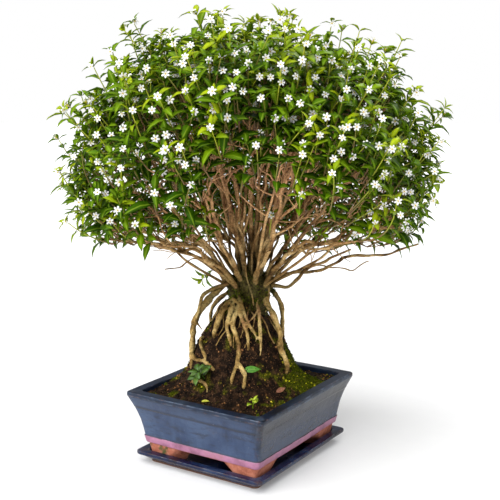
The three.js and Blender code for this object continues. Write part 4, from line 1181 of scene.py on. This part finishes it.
fan = Growth()
for k, (main_line, main_thick, fork, fork_radii) in enumerate(stems):
    fork_line, fork_thick = flowing(fork, fork_radii, 6 * MM)
    fork_line = swayed(fork_line, 40 + k)
    leaves_stump = round(BURIED_SHARE * len(main_line)) - 3
    fan.limb(main_line[leaves_stump:], main_thick[leaves_stump:], 8, 0.25)
    fan.limb(fork_line, fork_thick, 6, 0.25)
    count = len(main_line) - 1
    beside = fork[2].lerp(main_line[-1], 2.0)
    slim = [main_line[round(0.1 * count)], main_line[round(0.25 * count)].lerp(beside, 0.3),
            main_line[round(0.5 * count)].lerp(beside, 0.35), beside]
    slim[1:3] = [p + Vector([draw.uniform(-7, 7) for j in range(3)]) * MM for p in slim[1:3]]
    slim_line, slim_thick = flowing(slim, [1.9 * MM, 1.6 * MM, 1.3 * MM, 0.9 * MM], 7 * MM)
    fan.limb(slim_line, slim_thick, 6, 0.25)
    joints = list(zip(main_line, main_thick))[round(0.38 * len(main_line)):]
    joints += list(zip(fork_line, fork_thick))[1:]
    joints += list(zip(slim_line, slim_thick))[round(0.45 * len(slim_line)):]
    for line, new, share in sorted(shoots[k], key=lambda s: (s[0][0] - heart).length):
        root = line[0]
        spot, thick = best_joint(joints, root)
        gap = root - spot
        middle = spot.lerp(root, 0.5) + (spot - heart).normalized() * 0.12 * gap.length
        middle += Vector([draw.uniform(-1, 1) for j in range(3)]) * min(5 * MM, 0.12 * gap.length)
        start_thick = min(thick * 0.85, (0.75 + 14 * gap.length) * MM)
        chain, chain_thick = flowing([spot, middle, root, line[1]],
                                     [start_thick, 0.85 * start_thick, 0.62 * MM, 0.5 * MM], 9 * MM)
        fan.limb(chain, chain_thick, 5 if start_thick > 1.1 * MM else 4, 0.2)
        joints += list(zip(chain, chain_thick))[1:-1]
    # Short bare twigs inside the crown.
    for i in range(9 if sprays[k][1] < 50 else 5):
        spot = round(draw.uniform(0.35, 0.85) * count)
        way = (main_line[spot] - main_line[spot - 1]).normalized()
        bare_twig = [main_line[spot]]
        for j in range(3):
            way = (way + Vector([draw.gauss(0, 0.45) for c in range(3)]) + Vector((0, 0, 0.1))).normalized()
            bare_twig.append(bare_twig[-1] + way * draw.uniform(9, 16) * MM)
        fan.limb(*flowing(bare_twig, [0.95 * MM, 0.75 * MM, 0.6 * MM, 0.35 * MM], 7 * MM), 4, 0.25)
# Bare twigs and boughs that stand out under the crown.
for i, (path, radius) in enumerate(TWIGS + LOW_BOUGHS):
    line = [seen(*p) for p in path]
    radii = [(radius - 0.45 * radius * i / (len(line) - 1)) * MM for i in range(len(line))]
    line, thick = flowing(line, radii, 4 * MM)
    fan.limb(swayed(line, 90 + i), thick, 6, 0.4)
# Thin rootlets from the trunk down over the mound, and a long hair root from a stem.
root_draw = random.Random(57)
for i in range(20):
    turn = math.radians(-62 + 235 * i / 19 + root_draw.uniform(-8, 8))
    rootlet = [seen(TRUNK_ACROSS + 15 * math.cos(turn), 15 * math.sin(turn), root_draw.uniform(188, 198))]
    for radius in (25, 30, 36, 43, 50)[:root_draw.choice((3, 4, 5))]:
        turn += math.radians(root_draw.uniform(-10, 10))
        across, toward = MOUND_ACROSS + radius * math.cos(turn), radius * math.sin(turn)
        rootlet.append(seen(across, toward, soil_height(across, toward) + 1.3))
    girth = root_draw.uniform(0.8, 1.5) * MM
    radii = [girth * (1 - 0.6 * j / len(rootlet)) for j in range(len(rootlet))]
    line, thick = flowing(rootlet, radii, 3 * MM)
    fan.limb(line, thick, 5, 0.5)
hair_root = [seen(*p) for p in ((8, 4, 250), (3, 20, 241), (4, 31, 222), (10, 33, 202), (12, 28, 188))]
fan.limb(*flowing(hair_root, [0.8 * MM] * 5, 4 * MM), 5, 0.3)
# Pruned stubs on the trunk, and inner stems that rise between the others.
for i in range(24):
    stub = i < 7
    turn = i * GOLDEN_TURN
    rise = math.radians(76 if stub else 38 + 48 * ((i * 7) % 17) / 17)
    level = RIGHT * math.cos(turn) * math.cos(rise) + FRONT * math.sin(turn) * math.cos(rise)
    way = level + UP * math.sin(rise)
    off = 9 if stub else 20 * math.cos(rise)
    foot = seen(TRUNK_ACROSS, 0, 204) + Vector((way.x, way.y, 0)).normalized() * off * MM
    far = heart + way * (0.3 if stub else 0.8) * reach(way)
    knee = foot.lerp(far, 0.4) + UP * (0 if stub else 12) * MM
    girth = (draw.uniform(2.9, 3.9) if stub else draw.uniform(1.4, 2.4)) * MM
    line, thick = flowing([foot, knee, far], [girth, 0.8 * girth, 0.42 * girth], 6 * MM)
    fan.limb(swayed(line, 70 + i), thick, 6, 0.25)
wood = joined("tree_growth", [stump, fan.mesh("fan", bark)])


def shaded(vertex):
    """How dark and mossy the bark is at a vertex: moss on the trunk, moss and painted shade among the feet
    of the stems, and painted shade on the inner side of each stem and in the creases of the stump."""
    p = vertex.co
    off = p - seen(TRUNK_ACROSS, 0, 1000 * p.z)
    among = min(1, max(0, 1.7 - math.hypot(off.x, off.y) / (20 * MM)))
    among *= min(1, max(0, (275 * MM - p.z) / (50 * MM)))
    turned_in = 0.62 * (0.42 - vertex.normal.dot(off.normalized()))
    turned_in *= min(1, max(0, (330 * MM - p.z) / (90 * MM)))
    crease = creases[vertex.index] if vertex.index < len(creases) else 0
    return max(trunk_share(p), among if p.z > 0.2 else 0, turned_in, min(1, 13 * max(0, crease)))


note(wood.data, "shade_and_moss", [shaded(vertex) for vertex in wood.data.vertices])
wood.data.polygons.foreach_set("use_smooth", [True] * len(wood.data.polygons))
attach(wood, "root")
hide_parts("tree_wood")

# ---------------------------------------------------------------- leafy shoots of the crown
# Serissa bears small glossy pointed leaves in crossed pairs along thin green shoots, and white
# six-petalled funnel flowers near their tips. Leaves darken with age; the newest are yellow-green.


def midrib(tree, inner, outer, strength):
    """How far the rib shows on a blade: in full along its middle, and no more past the outer share."""
    across = wired(tree, "ShaderNodeSeparateXYZ", {0: noted(tree, "blade", "Vector")}).outputs[1]
    off = maths(tree, "ABSOLUTE", maths(tree, "SUBTRACT", across, 0.5))
    return between(tree, off, inner, outer, strength, 0)


leaf_green, tree, shader, place = finish("leaf_green")
tone = noted(tree, "tone")
new = noted(tree, "new")
along = noted(tree, "along")
age = maths(tree, "MULTIPLY", new, between(tree, along, 0.2, 1.0, 0.45, 1.15))
age = maths(tree, "ADD", age, between(tree, tone, 0, 1, -0.10, 0.15))
age = maths(tree, "ADD", age, between(tree, along, 0.80, 1.0, 0, 0.20))
green = ramp(tree, age, (0.0, (0.022, 0.070, 0.001)), (0.3, (0.084, 0.180, 0.001)),
             (0.6, (0.152, 0.265, 0.002)), (0.95, (0.37, 0.46, 0.006)))
green = mixed(tree, midrib(tree, 0.03, 0.09, 0.55), green, (0.24, 0.34, 0.02, 1))
under = maths(tree, "MULTIPLY", noted(tree, "under"), 0.5)
green = mixed(tree, under, green, (0.17, 0.27, 0.015, 1))
mottle = grain(tree, place, 500, 2)
green = mixed(tree, between(tree, mottle, 0.4, 0.7, 0, 0.2), green, (0.08, 0.19, 0.002, 1))
tree.links.new(green, shader.inputs["Base Color"])
tree.links.new(between(tree, tone, 0, 1, 0.3, 0.5), shader.inputs["Roughness"])
shader.inputs["Specular IOR Level"].default_value = 0.14
shader.inputs["Specular Tint"].default_value = (0.85, 1.0, 0.45, 1)

twig_green, tree, shader, place = finish("twig_green")
new = noted(tree, "new")
along = noted(tree, "along")
age = maths(tree, "MULTIPLY", maths(tree, "ADD", new, 0.35), along)
shoot_skin = ramp(tree, age, (0.0, (0.22, 0.11, 0.05)), (0.22, (0.20, 0.16, 0.03)), (0.5, (0.34, 0.38, 0.02)),
                  (1.0, (0.52, 0.55, 0.03)))
tree.links.new(shoot_skin, shader.inputs["Base Color"])
shader.inputs["Roughness"].default_value = 0.5
relief(tree, shader, grain(tree, place, 900, 2), 0.0001)

petal_white, tree, shader, place = finish("petal_white")
petal = ramp(tree, noted(tree, "part"), (0.0, (0.88, 0.88, 0.86)), (0.35, (0.80, 0.82, 0.72)),
             (0.5, (0.74, 0.52, 0.06)), (0.75, (0.62, 0.40, 0.05)), (0.8, (0.66, 0.50, 0.36)),
             (1.0, (0.62, 0.50, 0.34)))
tree.links.new(petal, shader.inputs["Base Color"])
shader.inputs["Roughness"].default_value = 0.55
shader.inputs["Subsurface Weight"].default_value = 0.15
shader.inputs["Subsurface Radius"].default_value = (0.002, 0.002, 0.0015)
relief(tree, shader, grain(tree, place, 1400, 2), 0.00008)


def face_mapped(mesh, marks):
    """A map of leaf blades for their finish: how far along and how far across each point lies."""
    face_map = mesh.attributes.new("blade", "FLOAT_VECTOR", "POINT")
    face_map.data.foreach_set("vector", [c for u, v in marks for c in (u, v, 0.0)])


class Leafage:
    """Leaf blades gathered for one small shape, with a map along and across each blade."""

    def __init__(self):
        self.points, self.faces, self.marks, self.under = [], [], [], []

    def blade(self, root, way, over, length, width, rise, droop, cup):
        """A blade that grows that way from its root: it rises, droops to its tip and is cupped across."""
        side = over.cross(way)
        rows = ((0.2, 0.60), (0.48, 1.0), (0.77, 0.64))

        def centre(t):
            return root + (way * t * (1 - 0.25 * droop * t) + over * (rise * t - droop * t * t)) * length

        start = len(self.points)
        self.points.append(root)
        self.marks.append((0, 0.5))
        self.under.append(0)
        for t, share in rows:
            half = 0.5 * width * share
            for s in (-1, 0, 1):
                self.points.append(centre(t) + side * s * half + over * abs(s) * cup * half)
                self.marks.append((t, 0.5 + 0.5 * s * share))
                self.under.append(0)
            self.points.append(centre(t) - over * 0.02 * length)
            self.marks.append((t, 0.5))
            self.under.append(1)
        self.points.append(centre(1.0))
        self.marks.append((1, 0.5))
        self.under.append(0)
        a, b, c, tip = start + 1, start + 5, start + 9, start + 13
        self.faces += [(start, a + 1, a), (start, a + 2, a + 1), (c, c + 1, tip), (c + 1, c + 2, tip),
                       (start, a, a + 3), (start, a + 3, a + 2), (c, tip, c + 3), (c + 3, tip, c + 2)]
        for p, q in ((a, b), (b, c)):
            self.faces += [(p, p + 1, q + 1, q), (p + 1, p + 2, q + 2, q + 1),
                           (p, q, q + 3, p + 3), (p + 3, q + 3, q + 2, p + 2)]

    def shape(self, name):
        mesh = bpy.data.meshes.new(name)
        mesh.from_pydata([tuple(p) for p in self.points], [], self.faces)
        mesh.polygons.foreach_set("use_smooth", [True] * len(mesh.polygons))
        face_mapped(mesh, self.marks)
        note(mesh, "under", self.under)
        return bpy.data.objects.new(name, mesh)


def leaf_pairs(name, count, draw, lean, wide=(0.31, 0.40)):
    """Pairs of leaves that stand off either side of the shoot, which runs along Z. Length is 1."""
    made = bpy.data.collections.new(name)
    for i in range(count):
        pair = Leafage()
        for sign in (1, -1):
            tilt = math.radians(lean + draw.uniform(-12, 12))
            out = Vector((sign * math.cos(tilt), draw.uniform(-0.12, 0.12), math.sin(tilt))).normalized()
            over = Vector((-sign * math.sin(tilt), draw.uniform(-0.25, 0.25), math.cos(tilt)))
            over = (over - out * over.dot(out)).normalized()
            length = draw.uniform(0.85, 1.1)
            pair.blade(Vector((sign * 0.02, 0, 0)), out, over, length, length * draw.uniform(*wide),
                       draw.uniform(0.14, 0.28), draw.uniform(0.38, 0.7), 0.35)
        made.objects.link(pair.shape(f"{name}_{i}"))
    return made


def flower_shape():
    """Funnel flower that looks along Z from its root at the origin: tube, six petals, yellow eye."""
    points, faces, part = [], [], []
    for ring, (radius, z) in enumerate(((0.45, 0), (0.6, 0.4), (1.1, 8.3))):
        for j in range(4):
            angle = math.pi / 2 * j
            points.append(Vector((radius * math.cos(angle), radius * math.sin(angle), z)) * MM)
            part.append(1.0 if ring < 2 else 0.3)
    for ring in (0, 1):
        for j in range(4):
            k = (j + 1) % 4
            faces.append((ring * 4 + j, ring * 4 + k, ring * 4 + 4 + k, ring * 4 + 4 + j))
    for j in range(6):
        angle = math.pi / 3 * (j + 0.5)
        out = Vector((math.cos(angle), math.sin(angle), 0))
        side = Vector((-out.y, out.x, 0))
        a = len(points)
        for along, wide, up in ((0.5, 0.5, 8.1), (3.3, 1.3, 8.9), (4.9, 0.7, 8.5)):
            for across, lift in ((-wide, 0), (wide, 0), (0, -0.35)):
                points.append((out * along + side * across + UP * (up + lift)) * MM)
                part.append(0.0)
        for b in (a, a + 3):
            faces += [(b, b + 3, b + 4, b + 1), (b, b + 2, b + 5, b + 3), (b + 1, b + 4, b + 5, b + 2)]
        faces += [(a, a + 1, a + 2), (a + 6, a + 8, a + 7)]
    start = len(points)
    for x, y in ((1, 0), (0, 1), (-1, 0), (0, -1)):
        points.append(Vector((1.25 * x, 1.25 * y, 8.3)) * MM)
    points.append(Vector((0, 0, 9.7)) * MM)
    part += [0.6] * 5
    faces += [(start + j, start + (j + 1) % 4, start + 4) for j in range(4)]
    faces.append((start + 3, start + 2, start + 1, start))
    mesh = bpy.data.meshes.new("serissa_flower")
    mesh.from_pydata([tuple(p) for p in points], [], faces)
    note(mesh, "part", part)
    return bpy.data.objects.new("serissa_flower", mesh)


def read(tree, name, kind="FLOAT"):
    """What is noted on the mesh under that name, as a tree reads it."""
    return wired(tree, "GeometryNodeInputNamedAttribute", {"Name": name}, data_type=kind).outputs[0]


def leafing_tree():
    """Leaves, tip leaves, twigs and flowers on the lines of the shoots. The lines carry along, from 0 at
    the root to 1 at the tip, size, twist and new; lone points that carry bloom and gaze bear flowers."""
    tree = bpy.data.node_groups.new("leafing", "GeometryNodeTree")
    for args in (("Lines", "NodeSocketGeometry"), ("Leaf pairs", "NodeSocketCollection"),
                 ("Tip pairs", "NodeSocketCollection"), ("Flower", "NodeSocketObject"),
                 ("Node spacing", "NodeSocketFloat", 0.009), ("Leaf length", "NodeSocketFloat", 0.018),
                 ("Bare share", "NodeSocketFloat", 0.2), ("Twig radius", "NodeSocketFloat", 0.00085),
                 ("Leaf finish", "NodeSocketMaterial"), ("Twig finish", "NodeSocketMaterial"),
                 ("Petal finish", "NodeSocketMaterial"), ("Seed", "NodeSocketInt", 0)):
        socketed(tree, *args)
    tree.interface.new_socket("Geometry", in_out="OUTPUT", socket_type="NodeSocketGeometry")
    given = tree.nodes.new("NodeGroupInput").outputs
    curves = wired(tree, "GeometryNodeMeshToCurve", {"Mesh": given["Lines"]}).outputs[0]
    nodes = wired(tree, "GeometryNodeCurveToPoints", {"Curve": curves, "Length": given["Node spacing"]},
                  mode="LENGTH").outputs
    along = read(tree, "along")
    index = wired(tree, "GeometryNodeInputIndex").outputs[0]
    quarter = maths(tree, "MULTIPLY_ADD", index, math.pi / 2, read(tree, "twist"))
    quarter = maths(tree, "ADD", quarter, noised(tree, -0.3, 0.3, given["Seed"]))
    about = wired(tree, "FunctionNodeAxisAngleToRotation", {"Axis": (0, 0, 1), "Angle": quarter}).outputs[0]
    turned = wired(tree, "FunctionNodeRotateRotation", {"Rotation": nodes["Rotation"], "Rotate By": about},
                   rotation_space="LOCAL").outputs[0]
    taper = wired(tree, "ShaderNodeMapRange", {0: along, 1: 0.55, 2: 1.0, 3: 1.0, 4: 0.72}).outputs[0]
    size = maths(tree, "MULTIPLY", taper, maths(tree, "MULTIPLY", given["Leaf length"], read(tree, "size")))
    size = maths(tree, "MULTIPLY", size, noised(tree, 0.78, 1.15, given["Seed"]))
    leafy = maths(tree, "GREATER_THAN", along, given["Bare share"])
    pairs = wired(tree, "GeometryNodeCollectionInfo",
                  {"Collection": given["Leaf pairs"], "Separate Children": True, "Reset Children": True})
    leaves = wired(tree, "GeometryNodeInstanceOnPoints",
                   {"Points": nodes["Points"], "Selection": leafy, "Instance": pairs.outputs[0],
                    "Pick Instance": True, "Rotation": turned, "Scale": size}).outputs[0]
    tips = wired(tree, "GeometryNodeCurveToPoints", {"Curve": curves}, mode="EVALUATED").outputs
    at_end = maths(tree, "GREATER_THAN", along, 0.99)
    tip_pairs = wired(tree, "GeometryNodeCollectionInfo",
                      {"Collection": given["Tip pairs"], "Separate Children": True, "Reset Children": True})
    tip_turn = wired(tree, "FunctionNodeRotateRotation", {"Rotation": tips["Rotation"], "Rotate By": about},
                     rotation_space="LOCAL").outputs[0]
    tip_size = maths(tree, "MULTIPLY", given["Leaf length"], noised(tree, 0.45, 0.75, given["Seed"]))
    tip_leaves = wired(tree, "GeometryNodeInstanceOnPoints",
                       {"Points": tips["Points"], "Selection": at_end, "Instance": tip_pairs.outputs[0],
                        "Pick Instance": True, "Rotation": tip_turn, "Scale": tip_size}).outputs[0]
    green = wired(tree, "GeometryNodeJoinGeometry")
    tree.links.new(tip_leaves, green.inputs[0])
    tree.links.new(leaves, green.inputs[0])
    toned = wired(tree, "GeometryNodeStoreNamedAttribute",
                  {"Geometry": green.outputs[0], "Name": "tone",
                   "Value": noised(tree, 0.0, 1.0, given["Seed"])},
                  data_type="FLOAT", domain="INSTANCE").outputs[0]
    real_leaves = wired(tree, "GeometryNodeRealizeInstances", {0: toned}).outputs[0]
    real_leaves = wired(tree, "GeometryNodeSetMaterial",
                        {"Geometry": real_leaves, "Material": given["Leaf finish"]}).outputs[0]
    radius = maths(tree, "MULTIPLY", given["Twig radius"],
                   wired(tree, "ShaderNodeMapRange", {0: along, 1: 0.0, 2: 1.0, 3: 1.1, 4: 0.6}).outputs[0])
    section = wired(tree, "GeometryNodeCurvePrimitiveCircle", {"Resolution": 4, "Radius": 1.0}).outputs[0]
    twigs = wired(tree, "GeometryNodeCurveToMesh",
                  {"Curve": curves, "Profile Curve": section, "Scale": radius, "Fill Caps": True}).outputs[0]
    twigs = wired(tree, "GeometryNodeSetMaterial",
                  {"Geometry": twigs, "Material": given["Twig finish"]}).outputs[0]
    lone = maths(tree, "GREATER_THAN", read(tree, "bloom"), 0.01)
    spots = wired(tree, "GeometryNodeMeshToPoints", {"Mesh": given["Lines"], "Selection": lone}).outputs[0]
    spin = wired(tree, "FunctionNodeAxisAngleToRotation",
                 {"Axis": (0, 0, 1), "Angle": noised(tree, 0.0, 6.3, given["Seed"])}).outputs[0]
    facing = wired(tree, "FunctionNodeAlignRotationToVector",
                   {"Vector": read(tree, "gaze", "FLOAT_VECTOR")}, axis="Z").outputs[0]
    facing = wired(tree, "FunctionNodeRotateRotation", {"Rotation": facing, "Rotate By": spin},
                   rotation_space="LOCAL").outputs[0]
    flower = wired(tree, "GeometryNodeObjectInfo", {"Object": given["Flower"], "As Instance": True})
    flowers = wired(tree, "GeometryNodeInstanceOnPoints",
                    {"Points": spots, "Instance": flower.outputs["Geometry"], "Rotation": facing,
                     "Scale": read(tree, "bloom")}).outputs[0]
    flowers = wired(tree, "GeometryNodeRealizeInstances", {0: flowers}).outputs[0]
    flowers = wired(tree, "GeometryNodeSetMaterial",
                    {"Geometry": flowers, "Material": given["Petal finish"]}).outputs[0]
    all_of_it = wired(tree, "GeometryNodeJoinGeometry")
    for part in (flowers, twigs, real_leaves):
        tree.links.new(part, all_of_it.inputs[0])
    wired(tree, "NodeGroupOutput", {0: all_of_it.outputs[0]})
    return tree


def shoot_lines(name, lines, blooms):
    """Lines of shoots and lone points of flowers as a bare mesh. A line is its points, how new it is,
    its size and its twist; a bloom is its point, the way it looks and its size."""
    points, edges = [], []
    values = {"along": [], "new": [], "size": [], "twist": [], "bloom": []}
    gaze = []
    for line, new, size, twist in lines:
        for j, p in enumerate(line):
            if j:
                edges.append((len(points) - 1, len(points)))
            points.append(p)
            for key, value in (("along", j / (len(line) - 1)), ("new", new), ("size", size), ("twist", twist),
                               ("bloom", 0.0)):
                values[key].append(value)
            gaze += [0.0, 0.0, 1.0]
    for p, way, size in blooms:
        points.append(p)
        for key in values:
            values[key].append(size if key == "bloom" else 0.0)
        gaze += list(way)
    mesh = bpy.data.meshes.new(name)
    mesh.from_pydata([tuple(p) for p in points], edges, [])
    for key, numbers in values.items():
        note(mesh, key, numbers)
    mesh.attributes.new("gaze", "FLOAT_VECTOR", "POINT").data.foreach_set("vector", gaze)
    made = bpy.data.objects.new(name, mesh)
    bpy.context.collection.objects.link(made)
    return made


leafing = leafing_tree()
draw = random.Random(9)
pairs = leaf_pairs("leaf_pair", 6, draw, 28)
tip_pairs = leaf_pairs("tip_pair", 3, draw, 58)
flower = flower_shape()
finishes = {"Leaf finish": leaf_green, "Twig finish": twig_green, "Petal finish": petal_white}


def leaf_size(tip, share, broad):
    """How large the leaves of a shoot are drawn, held to the room that its tip leaves them."""
    size = draw.uniform(*((1.3, 1.55) if broad else (0.95, 1.3) if share > 0.86 else (0.75, 1.05)))
    room = min(min(tip[i] - cad_box[0][i], cad_box[1][i] - tip[i]) for i in (0, 1))
    return min(size, room / (21 * MM), (cad_box[1][2] - tip.z) / (15 * MM))


opened = []
for k in range(len(sprays)):
    lines, blooms = [], []
    for line, new, share in shoots[k]:
        tip = line[-1]
        broad = share > 0.86 and new < 0.5 and draw.random() < 0.07
        size = leaf_size(tip, share, broad)
        lines.append((line, 0.0 if broad else new, size, draw.uniform(0, 6.3)))
        out = (tip - heart).normalized()
        ahead = out.dot(FRONT) > 0.1
        apart = (14 if out.dot(FRONT) > 0.42 else 20 if ahead else 24) * MM
        deepest = 0.66 if openness(tip) > 0.25 else 0.83 if ahead else 0.89
        for spot in (tip, line[4] + out * 5 * MM)[:1 + ahead]:
            if share < deepest or any((spot - other).length < apart for other in opened):
                continue
            opened.append(spot)
            look = out * 0.3 + FRONT * 0.9 if ahead else out * 0.85 + UP * 0.15
            look = (look + Vector([draw.gauss(0, 0.2) for j in range(3)])).normalized()
            blooms.append((spot, look, draw.uniform(0.76, 0.92)))
    spray = grown(f"leafy_spray_{k + 1:02d}", shoot_lines("lines", lines, blooms), leafing,
                  {"Leaf pairs": pairs, "Tip pairs": tip_pairs, "Flower": flower, "Node spacing": 0.0120,
                   "Leaf length": 0.0242, **finishes}, 40 + k)
    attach(spray, "root")
    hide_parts(f"leaf_spray_{k + 1:02d}")

# ---------------------------------------------------------------- small shoots low on the stems
# Four short side shoots with a few pairs of fresh leaves, sprouting from the bare part of the stems.
# Each is the number of its stem, how far up that it sits, and how far round.
LOW_SHOOTS = ((1, 0.27, 2.4), (6, 0.3, 0.6), (9, 0.42, 1.2), (14, 0.4, 4.2))


def straight(root, way, length):
    """The line of a shoot that grows straight that way."""
    return [root + way * length * j / 6 for j in range(7)]


for number, (which, along, turn) in enumerate(LOW_SHOOTS):
    line = stems[which][0]
    place = round(along * (len(line) - 1))
    root = line[place]
    way = (line[place + 1] - line[place - 1]).normalized()
    away = Matrix.Rotation(turn, 3, way) @ way.cross(RIGHT).normalized() + way * 0.4
    line = straight(root, away.normalized(), 19 * MM)
    sprig = grown(f"low_shoot_{number + 1}", shoot_lines("lines", [(line, 0.5, 1.0, turn)], []), leafing,
                  {"Leaf pairs": pairs, "Tip pairs": tip_pairs, "Flower": flower, "Node spacing": 0.0062,
                   "Leaf length": 0.0205, "Bare share": 0.3, **finishes}, 80 + number)
    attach(sprig, "root")
    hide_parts(f"leaf_shoot_low_{number + 1}")

# ---------------------------------------------------------------- weeds rooted in the soil
# A dark green rosette on the left and a yellow-green seedling by the front rim, both living plants of
# their own. They root in the soil, with the foot of the stem sunk into it.


def weed_finish(name, dark, light, rib_colour, roughness):
    """Soft green leaf skin, from dark to light leaf by leaf, with a paler rib."""
    made, tree, shader, place = finish(name)
    skin = ramp(tree, noted(tree, "tone"), (0.0, dark), (1.0, light))
    skin = mixed(tree, midrib(tree, 0.03, 0.10, 0.6), skin, (*rib_colour, 1))
    tree.links.new(skin, shader.inputs["Base Color"])
    shader.inputs["Roughness"].default_value = roughness
    relief(tree, shader, grain(tree, place, 600, 2), 0.0001)
    return made


def soil_normal(across, toward):
    """The way that the soil faces there, with the mound's slope taken over a few millimetres."""
    step = 6
    rises = [(soil_height(across + dx, toward + dy) - soil_height(across - dx, toward - dy)) / (2 * step)
             for dx, dy in ((step, 0), (0, step))]
    return (UP - RIGHT * rises[0] - FRONT * rises[1]).normalized()


weed_green = weed_finish("weed_green", (0.045, 0.10, 0.010), (0.12, 0.22, 0.025), (0.10, 0.24, 0.05), 0.4)
seedling_green = weed_finish("seedling_green", (0.26, 0.40, 0.012), (0.50, 0.62, 0.03),
                             (0.60, 0.70, 0.12), 0.45)
draw = random.Random(31)
round_pairs = leaf_pairs("round_pair", 4, draw, 22, (0.55, 0.68))
for name, spot, length, spacing, leaf_length, node, slot, colour in (
    ("weed_rosette", WEED_SPOT, 17, 0.0030, 0.0205, "weed", "weed_leaf", weed_green),
    ("lime_seedling", SEEDLING_SPOT, 14, 0.0040, 0.0125, "seedling", "seedling_leaf", seedling_green),
):
    up = soil_normal(*spot).lerp(UP, 0.3).normalized()
    foot = seen(*spot, soil_height(*spot) - 6)
    stalk = [(straight(foot, up, length * MM), 0.5, 1.0, 0.5)]
    rosette = grown(name, shoot_lines("lines", stalk, []), leafing,
                    {"Leaf pairs": round_pairs, "Tip pairs": tip_pairs, "Flower": flower,
                     "Node spacing": spacing, "Leaf length": leaf_length, "Bare share": 0.4,
                     "Leaf finish": colour, "Twig finish": colour, "Petal finish": colour}, 90)
    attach(rosette, "root")
    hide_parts(node)

# ---------------------------------------------------------------- fallen leaves
# Three single leaves that have dropped from a tree and lie loose on the soil: a fresh one, a dried
# brown one and a yellowed one. Each is a thin arched blade with a rib.


def fallen_finish(name, dark, light, rib_colour):
    """Leaf skin in blotches from dark to light, with a paler rib."""
    made, tree, shader, place = finish(name)
    skin = ramp(tree, grain(tree, place, 350, 4, 0.6), (0.35, dark), (0.65, light))
    skin = mixed(tree, midrib(tree, 0.02, 0.07, 0.7), skin, (*rib_colour, 1))
    tree.links.new(skin, shader.inputs["Base Color"])
    shader.inputs["Roughness"].default_value = 0.5
    relief(tree, shader, grain(tree, place, 900, 3), 0.0002)
    return made


def loose_leaf(name, node, spot, turn, size, material):
    """A thin closed blade, arched along and cupped across, where the node of that name lies."""
    long, broad, thick = 24, 9.5, 0.45
    up = soil_normal(*spot)
    along = Matrix.Rotation(turn, 3, "Z") @ RIGHT
    along = (along - up * along.dot(up)).normalized()
    side = up.cross(along)
    corners = [Vector(c) for c in frame["nodes"][node].bound_box]
    middle = sum(corners, Vector()) / 8
    points, marks = [], []
    rows, columns = 12, 7
    for layer in (0.0, -thick):
        for i in range(rows + 1):
            t = i / rows
            wide = max(0.02, math.sin(math.pi * t ** 0.8) ** (0.7 + 0.6 * t) * (1 - 0.15 * t))
            for j in range(columns):
                v = 2 * j / (columns - 1) - 1
                lift = 1.5 * math.sin(math.pi * t) - 1.1 + 0.55 * abs(v) ** 1.5 * wide
                p = along * (t - 0.5) * long + side * v * wide * (broad / 2) + up * lift
                points.append(middle + p * size * MM + up * layer * MM)
                marks.append((t, 0.5 + 0.5 * v))
    n, half = columns, (rows + 1) * columns
    faces = []
    for i in range(rows):
        for j in range(n - 1):
            a = i * n + j
            faces.append((a, a + n, a + n + 1, a + 1))
            faces.append((half + a, half + a + 1, half + a + n + 1, half + a + n))
    rim = list(range(n)) + [i * n + n - 1 for i in range(1, rows + 1)]
    rim += [rows * n + j for j in range(n - 2, -1, -1)] + [i * n for i in range(rows - 1, 0, -1)]
    for i, a in enumerate(rim):
        b = rim[(i + 1) % len(rim)]
        faces.append((a, b, b + half, a + half))
    leaf = whole_mesh(name, points, faces, material)
    turned = bmesh.new()
    turned.from_mesh(leaf.data)
    bmesh.ops.recalc_face_normals(turned, faces=turned.faces)
    turned.to_mesh(leaf.data)
    face_mapped(leaf.data, marks)
    leaf.data.set_sharp_from_angle(angle=math.radians(50))
    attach(leaf, "root")
    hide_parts(node)


loose_leaf("fresh_leaf", "fallen_leaf_green", GREEN_LEAF_SPOT, 0.1, 0.85,
           fallen_finish("fresh_leaf", (0.05, 0.20, 0.01), (0.10, 0.33, 0.02), (0.25, 0.45, 0.08)))
loose_leaf("brown_leaf", "fallen_leaf_brown", BROWN_LEAF_SPOT, 0.9, 0.62,
           fallen_finish("brown_leaf", (0.20, 0.07, 0.035), (0.42, 0.18, 0.10), (0.45, 0.24, 0.14)))
loose_leaf("yellow_leaf", "fallen_leaf_yellow", YELLOW_LEAF_SPOT, -0.2, 0.4,
           fallen_finish("yellow_leaf", (0.40, 0.42, 0.03), (0.62, 0.60, 0.06), (0.65, 0.62, 0.20)))
